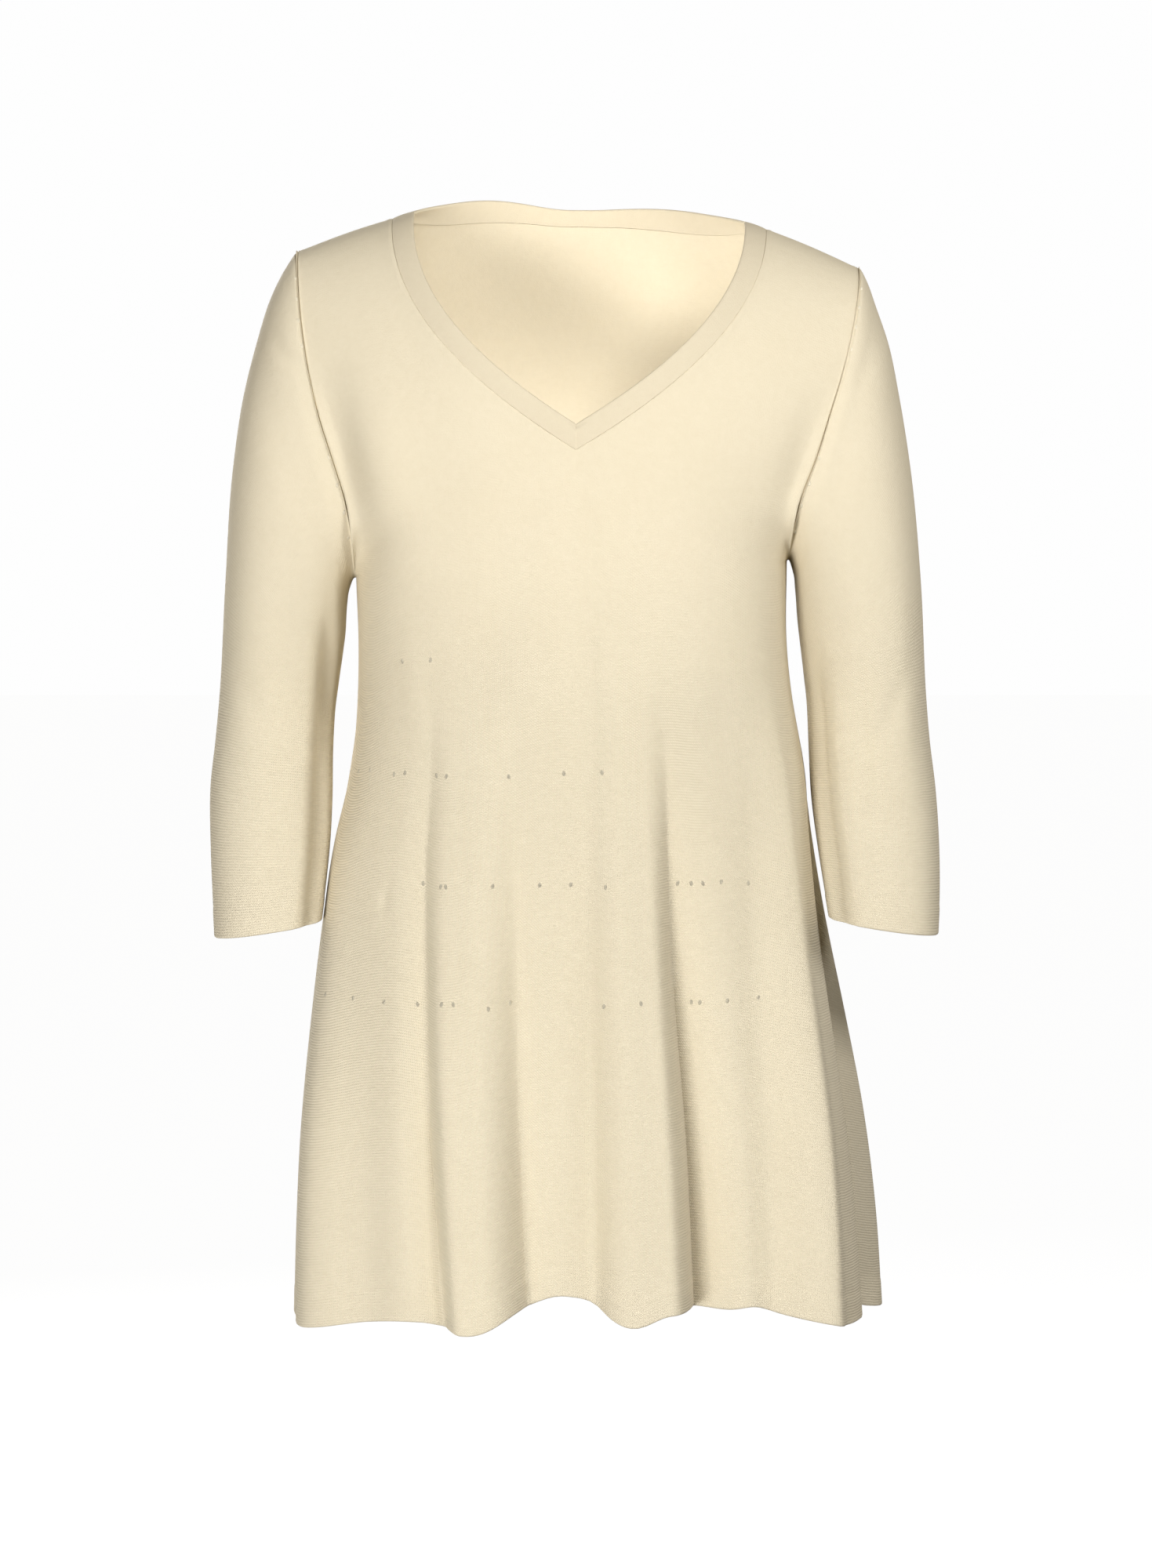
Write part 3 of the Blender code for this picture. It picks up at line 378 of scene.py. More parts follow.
def ring_points(face, side, across, z):
    """Body below the bust line: superellipse rings, blended from the underarms up into the
    dome's own section with its open armholes, and pushed outwards by the folds."""
    underarm = underarm_height(side, across)
    depth = column(TORSO, z, 3 if face < 0 else 4)
    half = np.where(
        z > underarm,
        column(ARMHOLE, z, side_column(side)),
        column(TORSO, z, side_column(side)),
    )
    open_share = np.clip((z - underarm) / (BUST_Z - underarm), 0, 1)
    climb = np.arccos(1 - open_share)
    armhole = ARMHOLE_FRONT if face < 0 else ARMHOLE_BACK
    smooth = open_share * open_share * (3 - 2 * open_share)
    ring = RING_ROUND + (BUST_ROUND - RING_ROUND) * step_up(z, -0.44, -0.27)
    if face < 0:
        ring = ring + (FRONT_ROUND - RING_ROUND) * step_up(-z, 0.49, 0.66)
    rounded = np.sin(across * math.pi / 2) ** (2 / RING_ROUND)
    t = rounded + (across - rounded) * smooth
    closed = depth * np.clip(1 - t**ring, 0, 1) ** (1 / ring)
    opened = armhole + (depth - armhole) * (1 - t**CHEST_ROUND)
    x, y = half * t, closed + (opened - closed) * smooth
    y = y + armhole * (np.sin(climb) - smooth) * across**14
    nx = (t ** (ring - 1)) / half
    ny = (np.clip(y / depth, 0, 1) ** (ring - 1)) / depth
    size = np.hypot(nx, ny)
    nx, ny = nx / size, ny / size
    turn = side * (90 * across if face < 0 else 180 - 90 * across)
    out, along = fold_reach(turn, z)
    along = along * side * (1 if face < 0 else -1)
    x, y = x + nx * out + ny * along, y + ny * out - nx * along
    return np.stack([side * x, face * y, z + 0 * x], axis=-1)


def dome_levels(face, side, w):
    """Where the dome's rise w meets the middle line and the armhole seam."""
    up, back = np.sin(w * math.pi / 2), np.cos(w * math.pi / 2)
    middle_z = BUST_Z + (NECK_TOP_Z - BUST_Z) * up ** (2 / CENTRE_DOME)
    seam_z = BUST_Z + (TIP_Z[side] - BUST_Z) * up ** (2 / ARMHOLE_DOME)
    depth = column(TORSO, BUST_Z, 3 if face < 0 else 4)
    armhole = ARMHOLE_FRONT if face < 0 else ARMHOLE_BACK
    middle_y = depth * back ** (2 / CENTRE_DOME)
    seam_y = armhole * back ** (2 / ARMHOLE_DOME)
    return middle_z, middle_y, seam_z, seam_y, column(ARMHOLE, seam_z, side_column(side))


def dome_points(face, side, t, w):
    """Chest, back and shoulders: t runs from the middle line to the armhole, w up. The ridge
    is a straight slope to the tip, with a rise inside the neck point."""
    middle_z, middle_y, seam_z, seam_y, seam_x = dome_levels(face, side, w)
    inside = np.cos(np.clip(t / NECK_POINT, 0, 1) * math.pi / 2) ** NECK_RISE
    full = (1 + RIDGE_SOFT**4) ** 0.25 - RIDGE_SOFT
    eased = ((t**4 + RIDGE_SOFT**4) ** 0.25 - RIDGE_SOFT) / full
    slope = RIDGE_SLOPE[side] * full
    ridge = slope * (1 - eased) + (1 - slope) * inside
    ridge = ridge + SHOULDER_SWELL * np.sin(np.clip((t - 0.6) / 0.4, 0, 1) * math.pi) * w
    z = seam_z + (middle_z - seam_z) * ridge
    level = np.clip(1 - 3 * w, 0, 1)
    z = z + (middle_z + (seam_z - middle_z) * t - z) * level * level
    y = seam_y + (middle_y - seam_y) * (1 - t**CHEST_ROUND)
    return np.stack([side * seam_x * t, face * y, z], axis=-1)


def halving(low, high, too_high, steps=40):
    """Arrays of roots by halving: too_high says where the guess is past the root."""
    for _ in range(steps):
        middle = (low + high) / 2
        past = too_high(middle)
        low, high = np.where(past, low, middle), np.where(past, middle, high)
    return (low + high) / 2


def v_half_width(side, z, extra=0.0, drop=0.0):
    """Half width of the V neck at a height: a curve that closes to its point."""
    share = np.clip(-z / (V_DEPTH + drop), 0, 1)
    return (NECK_HALF[side] + extra) * (1 - share**V_CURVE)


def v_edge(side, w, extra=0.0, drop=0.0):
    """The t at which each row w of the front meets the V neck, or its band's seam."""

    def inside_cloth(t):
        point = dome_points(-1, side, t, w)
        return side * point[..., 0] > v_half_width(side, point[..., 2], extra, drop)

    return halving(np.zeros_like(w), np.ones_like(w), inside_cloth)


def v_point_rise(depth):
    """The w of the middle line at a depth below the shoulder line."""

    def above(w):
        return dome_points(-1, 1, np.zeros(1), w)[..., 2] > -depth

    return float(halving(np.zeros(1), np.ones(1), above)[0])


def back_rise(side, t, seam):
    """The w at which each column t of the back meets the neck's edge, or its band's seam
    where seam is 1: a curve set out in plan."""
    corner = NECK_HALF[side] + BAND_WIDTH * seam
    behind = BACK_SEAM_Y if seam else BACK_NECK_Y

    def past(w):
        point = dome_points(1, side, t, w)
        share = np.clip(np.abs(point[..., 0]) / corner, 0, 1)
        return point[..., 1] < behind * (1 - share ** BACK_NECK_ROUND[side])

    return halving(np.zeros_like(t), np.ones_like(t), past)


def fine_ends(columns, reach=0.25):
    """Columns with extra ones close to the seam at each end, in shares of the reach."""
    close = EDGE_STEPS / reach
    middle = columns[(columns > close[-1] * 1.2) & (columns < 1 - close[-1] * 1.2)]
    return np.concatenate([close, middle, 1 - close[::-1]])


def gathered(face, side, count):
    """Columns from the middle line to the side, closer together where folds are steep."""
    fine = np.linspace(0, 1, 2001)
    turn = side * (90 * fine if face < 0 else 180 - 90 * fine)
    density = np.ones_like(fine)
    for row in FOLDS:
        offset = (turn - row[1] + 180) % 360 - 180
        density += 40 * abs(row[3]) * bump(offset, row[4], row[5])
    for _, _, start, end, _, step, _ in (*WALLS, (0, 0, *CLOSING_WALL[2:], 0, 0.018, 0)):
        half = (end - start) / 2 + 0.6
        density += 260 * abs(step) / half * bump(turn - (start + end) / 2, 1.5 * half, 1.5 * half)
    total = np.concatenate([[0], np.cumsum((density[1:] + density[:-1]) / 2)])
    return fine_ends(np.interp(np.linspace(0, total[-1], count + 1), total, fine))


def dome_rises():
    """Rises of the dome's rows, with one through the point of the V's seam."""
    point = v_point_rise(V_DEPTH + BAND_MITRE)
    return point + (1 - point) * np.linspace(0, 1, DOME_RINGS + 1)


def drift(face, side, across, z, hem):
    """Columns that lean with the folds: at the hem they stand where the folds end, and
    higher up they move to where the folds start."""
    walls = [row[:4] for row in WALLS] + [CLOSING_WALL]
    pairs = [row[:2] for row in FOLDS] + [(sum(row[:2]) / 2, sum(row[2:]) / 2) for row in walls]
    rows = sorted((abs(hem_turn), abs(top_turn) - abs(hem_turn)) for top_turn, hem_turn in pairs
                  if hem_turn * side > 0 and (abs(hem_turn) < 90) == (face < 0))
    turns, shifts = zip((0 if face < 0 else 90, 0), *rows, (90 if face < 0 else 180, 0))
    turn = 90 * across if face < 0 else 180 - 90 * across
    lift = np.clip((z - hem) / (DRIFT_Z - hem), 0, 1)
    fade = np.clip((DRIFT_END_Z - z) / (DRIFT_END_Z - DRIFT_Z), 0, 1)
    fade = fade * fade * (3 - 2 * fade)
    turn = turn + np.interp(turn, turns, shifts) * lift * fade
    return turn / 90 if face < 0 else 2 - turn / 90


def lower_rows(face, side, columns):
    """Points from the hem up to the bust line, a grid of rows and columns, and how far each
    point is above the hem."""
    turn = side * (90 * columns if face < 0 else 180 - 90 * columns)
    hem, underarm = hem_height(turn), underarm_height(side, columns)
    rise = np.linspace(0, 1, SKIRT_RINGS)[1:, None]
    skirt = hem + HEM_STEPS[-1] + (underarm - hem - HEM_STEPS[-1]) * rise
    climb = np.linspace(0, math.pi / 2, UNDERARM_RINGS + 1)[1:, None]
    under = underarm + (BUST_Z - underarm) * (1 - np.cos(climb))
    z = np.concatenate([hem + HEM_STEPS[:, None], skirt, under])
    return ring_points(face, side, drift(face, side, columns, z, hem), z), z - hem


def creased(name, points, outward):
    """How far each point is pushed outwards by its piece's creases: a hump across each crease,
    exp(-(distance / half width) squared), that dies away at both of its ends and at a seam."""
    push = np.zeros(points.shape[:-1])
    for piece, face, *line, reach, width in CREASES:
        if piece == name:
            start, end = np.array(line[:2]), np.array(line[2:])
            way = end - start
            offset = points[..., [0, 2]] - start
            share = np.sum(offset * way, axis=-1) / (way @ way)
            near = np.clip(share, 0, 1)
            distance = np.linalg.norm(offset - near[..., None] * way, axis=-1)
            fade = 0.35 + 0.65 * np.sin(near * math.pi)
            facing = np.clip(outward[..., 1] * face * 3, 0, 1)
            push += reach * fade * facing * np.exp(-((distance / width) ** 2))
    if name.endswith("panel"):
        x, z = points[..., 0], points[..., 2]
        seam = np.where(x < 0, column(ARMHOLE, z, 1), column(ARMHOLE, z, 2))
        push *= step_up(seam - np.abs(x), 0.0005, 0.008)
    return push


class Cloth:
    """A knitted piece as grids of points: each grid a block of rows, with the place of every
    point in the knit (wales across and courses up, in metres), the cloth's thickness, and
    which points lie on a free edge or along a shoulder seam."""

    def __init__(self, name, wall=WALL):
        self.name, self.wall, self.count = name, wall, 0
        self.points, self.knit, self.walls, self.relief = [], [], [], []
        self.free, self.level, self.quads = [], [], []

    def grid(self, points, knit, relief=0.0, wall=None, free=False, level=False, flip=False):
        """Adds a block of rows and columns, and its quads, walked so that they face out."""
        shape = points.shape[:2]
        self.points.append(points.reshape(-1, 3))
        self.knit.append(knit.reshape(-1, 2))
        wall = self.wall if wall is None else wall
        for store, value in ((self.walls, wall), (self.relief, relief),
                             (self.free, free), (self.level, level)):
            store.append(np.broadcast_to(value, shape).ravel())
        number = self.count + np.arange(shape[0] * shape[1]).reshape(shape)
        quad = [number[:-1, :-1], number[:-1, 1:], number[1:, 1:], number[1:, :-1]]
        self.quads.append(np.stack(quad[::-1] if flip else quad, axis=-1).reshape(-1, 4))
        self.count += shape[0] * shape[1]

    def weld(self):
        """Joins the grids: points within a micron become one. A point's direction through
        the cloth is the sum of its quads' own."""
        points, quads = np.concatenate(self.points), np.concatenate(self.quads)
        keys = np.round(points, 6) + 0.0
        _, first, where = np.unique(keys, axis=0, return_index=True, return_inverse=True)
        where = where.ravel()
        self.quad_knit = np.concatenate(self.knit)[quads]
        self.points, self.quads = points[first], where[quads]
        self.walls, self.relief = (np.concatenate(x)[first] for x in (self.walls, self.relief))
        marks = []
        for flags in (self.free, self.level):
            mark = np.zeros(len(first), bool)
            np.logical_or.at(mark, where, np.concatenate(flags))
            marks.append(mark)
        self.free, self.level = marks
        self.face()
        return self

    def face(self):
        """Works out the quads' and the points' directions."""
        corners = self.points[self.quads]
        self.across = np.cross(corners[:, 2] - corners[:, 0], corners[:, 3] - corners[:, 1])
        self.normals = np.zeros_like(self.points)
        for k in range(4):
            np.add.at(self.normals, self.quads[:, k], self.across)


def unit(vectors):
    """Vectors of length 1; those of no length stay so."""
    size = np.linalg.norm(vectors, axis=-1, keepdims=True)
    return vectors / np.where(size > 0, size, 1)


def share_seam_normals(cloths):
    """Gives points that meet at a seam one direction through the cloth, halfway between
    the body's and the sleeve's, and keeps the walls upright along the shoulder seams."""
    keys = np.concatenate([np.round(c.points, 6) for c in cloths]) + 0.0
    _, where = np.unique(keys, axis=0, return_inverse=True)
    where = where.ravel()
    sleeve = np.concatenate([np.full(len(c.points), c.name.startswith("sleeve")) for c in cloths])
    normals = np.concatenate([unit(c.normals) for c in cloths])
    total = np.zeros((2, where.max() + 1, 3))
    for kind in (0, 1):
        chosen = sleeve == bool(kind)
        np.add.at(total[kind], where[chosen], normals[chosen])
    both = (unit(total[0]) + unit(total[1]))[where]
    start = 0
    for cloth in cloths:
        cloth.normals = both[start:start + len(cloth.points)]
        cloth.normals[cloth.level, 1] = 0
        cloth.normals = unit(cloth.normals)
        start += len(cloth.points)


def rim_of(quads):
    """The edges that only one quad uses, as (start, end, quad, corner), each as that quad
    walks it."""
    start, end = quads, np.roll(quads, -1, axis=1)
    size = quads.max() + 1
    there, back = (start * size + end).ravel(), (end * size + start).ravel()
    alone = np.flatnonzero(~np.isin(there, back))
    return start.ravel()[alone], end.ravel()[alone], alone // 4, alone % 4


def cloth_piece(cloth, rounding=4):
    """A closed wall. The outer face lies on the worked-out surface, the inner one a thickness
    inside it. A rim joins them: flat at a seam, where it is held back half a seam gap, and a
    half circle from face to face along a free edge."""
    points, normals = cloth.points.copy(), cloth.normals
    a, b, quad, corner = rim_of(cloth.quads)
    inward = unit(np.cross(cloth.across[quad], points[b] - points[a]))
    first, last = np.zeros_like(points), np.zeros_like(points)
    for ends, store in ((a, first), (b, last)):
        depth = np.sum(inward * normals[ends], axis=1, keepdims=True)
        store[ends] = unit(inward - depth * normals[ends])
    bend = np.maximum(1 + np.sum(first * last, axis=1, keepdims=True), 0.12)
    points += (first + last) / bend * SEAM_GAP / 2
    outward = -unit(first + last) * cloth.free[:, None]
    wall = cloth.walls[:, None]
    inner = points - normals * wall
    count = len(points)
    edge = np.unique(a)
    place = np.zeros(count, int)
    place[edge] = np.arange(len(edge))
    middle = (points + inner)[edge] / 2
    layers, rings = [points, inner], [lambda i: i]
    for step in range(1, rounding + 1):
        angle = math.pi * step / (rounding + 1)
        layers.append(middle + wall[edge] / 2 * (
            normals[edge] * math.cos(angle) + outward[edge] * math.sin(angle)))
        offset = 2 * count + (step - 1) * len(edge)
        rings.append(lambda i, offset=offset: offset + place[i])
    rings.append(lambda i: count + i)
    faces = [cloth.quads, count + cloth.quads[:, ::-1]]
    knit = [cloth.quad_knit, cloth.quad_knit[:, ::-1]]
    knit_a, knit_b = cloth.quad_knit[quad, corner], cloth.quad_knit[quad, (corner + 1) % 4]
    for step, (near, far) in enumerate(zip(rings[:-1], rings[1:])):
        faces.append(np.stack([near(b), near(a), far(a), far(b)], axis=-1))
        knit.append(np.stack([knit_b, knit_a, knit_a, knit_b], axis=1))
    faces, knit = np.concatenate(faces), np.concatenate(knit)
    return mesh_piece(cloth.name + "_knit", np.vstack(layers), faces, knit)


def mesh_piece(name, points, faces, knit):
    """An object of quads with a UV map in metres along the wales and the courses."""
    mesh = bpy.data.meshes.new(name)
    mesh.from_pydata(points.tolist(), [], faces.tolist())
    mesh.uv_layers.new(name="knit").data.foreach_set("uv", knit.astype(np.float32).ravel())
    mesh.shade_smooth()
    mesh.set_sharp_from_angle(angle=math.radians(62))
    piece = bpy.data.objects.new(name, mesh)
    bpy.context.scene.collection.objects.link(piece)
    return piece


def hill(distance, middle, half):
    """A smooth ridge of height 1 at the middle distance: exp(-(offset / half) squared)."""
    return np.exp(-(((distance - middle) / half) ** 2))


def walked(points, axis):
    """Length walked along a grid's rows or columns, from 0."""
    steps = np.linalg.norm(np.diff(points, axis=axis), axis=-1)
    zero = np.zeros_like(np.take(steps, [0], axis=axis))
    return np.concatenate([zero, np.cumsum(steps, axis=axis)], axis=axis)


def hem_relief(above):
    """The turned hem stands a little proud, with its stitched line sunk above it."""
    proud = 0.00025 * (1 - step_up(above, TURN_UP - 0.001, TURN_UP + 0.002))
    return proud - 0.00018 * hill(above, TURN_UP, 0.0011)


def seam_relief(distance):
    """A sunk seam with a soft welt beside it."""
    return 0.0005 * hill(distance, 0.0028, 0.0016) - 0.0003 * hill(distance, 0, 0.0009)


def dome_walk(face, side, rises):
    """Length up the dome from the bust line at each rise, measured at three quarters out."""
    t = np.full_like(rises, 0.75)
    line = np.vstack([dome_points(face, side, t[:1], np.zeros(1)), dome_points(face, side, t, rises)])
    return walked(line, 0)[1:]


def front_panel(columns):
    """One piece from the hem to the V neck's seam and both shoulders. Below the V its rows
    run from side to side; above it each side's rows start at the V's seam."""
    cloth = Cloth("front_panel")
    rises = dome_rises()
    edges = {}
    for side in (-1, 1):
        lower, above = lower_rows(-1, side, columns[side])
        first = dome_points(-1, side, columns[side], np.full_like(columns[side], rises[0]))
        lower = np.concatenate([lower, first[None]])
        above = np.concatenate([above, np.ones_like(above[:1])])
        up = walked(lower, 0)
        knit = np.stack([side * walked(lower, 1), up], axis=-1)
        near_side = (1 - columns[side])[None, :] * 0.25
        relief = hem_relief(above) + seam_relief(near_side)
        wall = np.where(above < TURN_UP - 0.001, TURNED_WALL, WALL)
        free = np.zeros(above.shape, bool)
        free[0] = True
        cloth.grid(lower, knit, relief, wall, free, flip=side < 0)
        starts = v_edge(side, rises, BAND_WIDTH, BAND_MITRE)
        starts[0] = 0.0
        t = starts[:, None] + (1 - starts[:, None]) * columns[side][None, :]
        upper = dome_points(-1, side, t, rises[:, None])
        upper[0] = lower[-1]
        walk = dome_walk(-1, side, rises)
        across = np.abs(upper[:, :1, 0]) + walked(upper, 1)
        high = up[-1][None, :] + (walk - walk[0])[:, None]
        near_neck = walked(upper, 1) + 0.004 * (starts[:, None] < 0.02)
        relief = seam_relief(near_side) + 0.6 * seam_relief(near_neck)
        relief[0] = seam_relief(near_side[0])
        level = np.zeros(t.shape, bool)
        level[-1] = True
        cloth.grid(upper, np.stack([side * across, high], axis=-1), relief, level=level,
                   flip=side < 0)
        edges[side] = upper[:, 0]
    cloth.neck = edges
    return cloth.weld()


def back_panel(columns, tops):
    """One piece from the hem to the back neck's seam and both shoulders."""
    cloth = Cloth("back_panel")
    for side in (-1, 1):
        rises = dome_rises()
        lower, above = lower_rows(1, side, columns[side])
        dome = dome_points(1, side, columns[side][None, :], rises[:, None] * tops[side][None, :])
        points = np.concatenate([lower, dome])
        above = np.concatenate([above, np.ones(dome.shape[:2])])
        knit = np.stack([side * walked(points, 1), walked(points, 0)], axis=-1)
        near_side = (1 - columns[side])[None, :] * 0.25
        from_top = walked(points[::-1], 0)[::-1]
        relief = hem_relief(above) + seam_relief(near_side) + 0.6 * seam_relief(from_top)
        wall = np.where(above < TURN_UP - 0.001, TURNED_WALL, WALL)
        free, level = np.zeros(above.shape, bool), np.zeros(above.shape, bool)
        free[0] = True
        level[-1] = tops[side] > 1 - 1e-9
        cloth.grid(points, knit, relief, wall, free, level, flip=side > 0)
    return cloth.weld()


def back_columns(side, count):
    """The back's columns, with one moved to where the band's seam meets the shoulder, and
    how high up the dome each of them reaches."""
    columns = gathered(1, side, count)
    tip = np.abs(dome_points(1, side, np.ones(1), np.ones(1))[0, 0])
    seam = (NECK_HALF[side] + BAND_WIDTH) / tip
    near = int(np.argmin(np.abs(columns - seam)))
    columns[near] = seam
    tops = np.ones_like(columns)
    tops[:near] = back_rise(side, columns[:near], 1)
    return columns, tops, near


def band(name, edge, seam, flip, level_rows):
    """A flat band between its finished edge and its seam. It swells a little between them,
    and its finished edge is rounded."""
    cloth = Cloth(name, BAND_WALL)
    share = np.linspace(0, 1, BAND_ROWS)[None, :]
    points = edge[:, None] + (seam - edge)[:, None] * share[..., None]
    along, across = walked(points, 0), walked(points, 1)
    relief = 0.0005 * np.sin(share * math.pi) ** 0.7 + 0 * along
    free, level = np.zeros(relief.shape, bool), np.zeros(relief.shape, bool)
    free[:, 0] = True
    level[level_rows] = True
    knit = np.stack([across, along[:, -1:] + 0 * across], axis=-1)
    cloth.grid(points, knit, relief, free=free, level=level, flip=flip)
    return cloth.weld()


def front_band(side, seam):
    """The band along one side of the V, mitred at its point."""
    rises = dome_rises()
    low = v_point_rise(V_DEPTH)
    edge_rises = low + (rises - rises[0]) * (1 - low) / (1 - rises[0])
    starts = v_edge(side, edge_rises)
    starts[0] = 0.0
    edge = dome_points(-1, side, starts, edge_rises)
    name = "neckband_front_" + ("right" if side < 0 else "left")
    return band(name, edge, seam, side < 0, [-1])


def back_band(columns, tops, nears):
    """The band across the back neck, from shoulder seam to shoulder seam."""
    edge, seam = [], []
    for side in (1, -1):
        inner = columns[side][: nears[side] + 1]
        tip = np.abs(dome_points(1, side, np.ones(1), np.ones(1))[0, 0])
        t = inner * NECK_HALF[side] / (NECK_HALF[side] + BAND_WIDTH)
        rise = back_rise(side, t, 0)
        rise[-1] = 1.0
        t[-1] = NECK_HALF[side] / tip
        edges = dome_points(1, side, t, rise)
        seams = dome_points(1, side, inner, tops[side][: nears[side] + 1])
        order = slice(None, None, -1) if side > 0 else slice(1, None)
        edge.append(edges[order])
        seam.append(seams[order])
    return band("neckband_back", np.concatenate(edge), np.concatenate(seam), False, [0, -1])


def armhole_loop(side):
    """The armhole seam, from the shoulder tip down the front and up the back."""
    climb = np.linspace(0, math.pi / 2, UNDERARM_RINGS + 1)
    low = UNDERARM_Z[side] + (BUST_Z - UNDERARM_Z[side]) * (1 - np.cos(climb))
    halves = []
    for face in (-1, 1):
        seam = ring_points(face, side, np.ones_like(low), low)
        rises = dome_rises()
        halves.append(np.vstack([seam, dome_points(face, side, np.ones_like(rises), rises)]))
    return np.vstack([halves[0][::-1], halves[1][1:-1]])


def section_points(row, side, shares):
    """A sleeve's section at shares of its way round, from its outer edge by the front."""
    outer_x, outer_z, inner_x, inner_z, middle_y, depth, widest = row
    turn = np.linspace(0, math.pi, 361)
    along = widest * (1 - np.clip(np.cos(turn), 0, 1) ** (2 / SLEEVE_ROUND))
    along += (1 - widest) * np.clip(-np.cos(turn), 0, 1) ** (2 / SLEEVE_ROUND)
    forward = depth * np.sin(turn) ** (2 / SLEEVE_ROUND)
    x = side * (outer_x + (inner_x - outer_x) * along)
    z = outer_z + (inner_z - outer_z) * along
    way = walked(np.stack([x, forward, z], axis=-1), 0)
    half = np.where(shares <= 1, shares, 2 - shares)
    front = np.where(shares <= 1, -1, 1)
    x, forward, z = (np.interp(half, way / way[-1], line) for line in (x, forward, z))
    return np.stack([x, middle_y + front * forward, z], axis=-1)


def sleeve_sections(side, loop):
    """Points of the sleeve's sections, one row of them for each section, and how far
    round the sleeve each point lies: 0 to 1 down the front, 1 to 2 up the back."""
    steps = np.linalg.norm(np.diff(np.vstack([loop, loop[:1]]), axis=0), axis=1)
    half = len(loop) // 2
    shares = np.concatenate([
        np.cumsum(steps[:half]) / steps[:half].sum() - steps[:half] / steps[:half].sum(),
        2 - np.cumsum(steps[half:][::-1])[::-1] / steps[half:].sum(),
    ])
    tip, foot = loop[0], loop[half]
    chord = tip[0] + (foot[0] - tip[0]) * (loop[:, 2] - tip[2]) / (foot[2] - tip[2])
    bow = np.zeros_like(loop)
    bow[:, 0] = loop[:, 0] - chord
    sections = [loop]
    for number, row in enumerate(SLEEVES[side]):
        fade = max(0.0, 1 - (number + 1) / SLEEVE_BOW_SECTIONS) ** 1.5
        sections.append(section_points(row, side, shares) + bow * fade)
    return np.array(sections), shares


def sleeve(side):
    """A tube from the armhole seam to the turned cuff: sections carried along the arm by
    smooth curves, with a welt beside the armhole seam and creases pushed in and out."""
    cloth = Cloth("sleeve_" + ("right" if side < 0 else "left"))
    loop = armhole_loop(side)
    sections, shares = sleeve_sections(side, loop)
    middles = sections.mean(axis=1)
    middles[0] = (loop[0] + loop[len(loop) // 2]) / 2
    places = walked(middles, 0)
    end = places[-1]
    close = np.array(SLEEVE_STATIONS)
    even = np.linspace(close[-1], end - HEM_STEPS[-1], SLEEVE_RINGS)[1:]
    stations = np.concatenate([close, even, end - HEM_STEPS[-2::-1]])
    rings = through(stations, places, sections.reshape(len(sections), -1))
    rings = rings.reshape(len(stations), -1, 3)
    outward = unit(rings - rings.mean(axis=1, keepdims=True))
    degrees, share = np.degrees(shares * math.pi)[None, :], (stations / end)[:, None]
    push = np.zeros(rings.shape[:2])
    for turn, start, stop, reach, width in SLEEVE_FOLDS[side]:
        fade = np.clip((share - start) / 0.25, 0, 1) * np.clip((stop - share) / 0.25, 0, 1)
        push += reach * fade * bump((degrees - turn + 180) % 360 - 180, width, width)
    rings = rings + outward * (push + creased(cloth.name, rings, outward))[..., None]
    depth, round_shares = SLEEVE_MARKS
    station = int(np.argmin(np.abs(stations - depth)))
    cloth.spots = np.array([rings[station, np.argmin(np.abs(shares - x))] for x in round_shares])
    above = (end - stations)[:, None] + 0 * push
    from_seam = stations[:, None] + 0 * push
    relief = hem_relief(above) + 0.0011 * hill(from_seam, 0.0024, 0.0013) + seam_relief(from_seam)
    relief *= 1 - 0.7 * hill(from_seam, 0, 0.0006)
    wall = np.where(above < TURN_UP - 0.001, TURNED_WALL, WALL)
    free = np.zeros(push.shape, bool)
    free[-1] = True
    half = len(loop) // 2
    girth = walked(np.concatenate([rings, rings[:, :1]], axis=1), 1)
    halves = ((np.arange(half + 1), girth[:, :half + 1]),
              (np.r_[half:len(loop), 0], girth[:, half:] - girth[:, -1:]))
    for part, across in halves:
        knit = np.stack([across, above[:, part]], axis=-1)
        cloth.grid(rings[:, part], knit, relief[:, part], wall[:, part], free[:, part],
                   flip=side < 0)
    return cloth.weld()


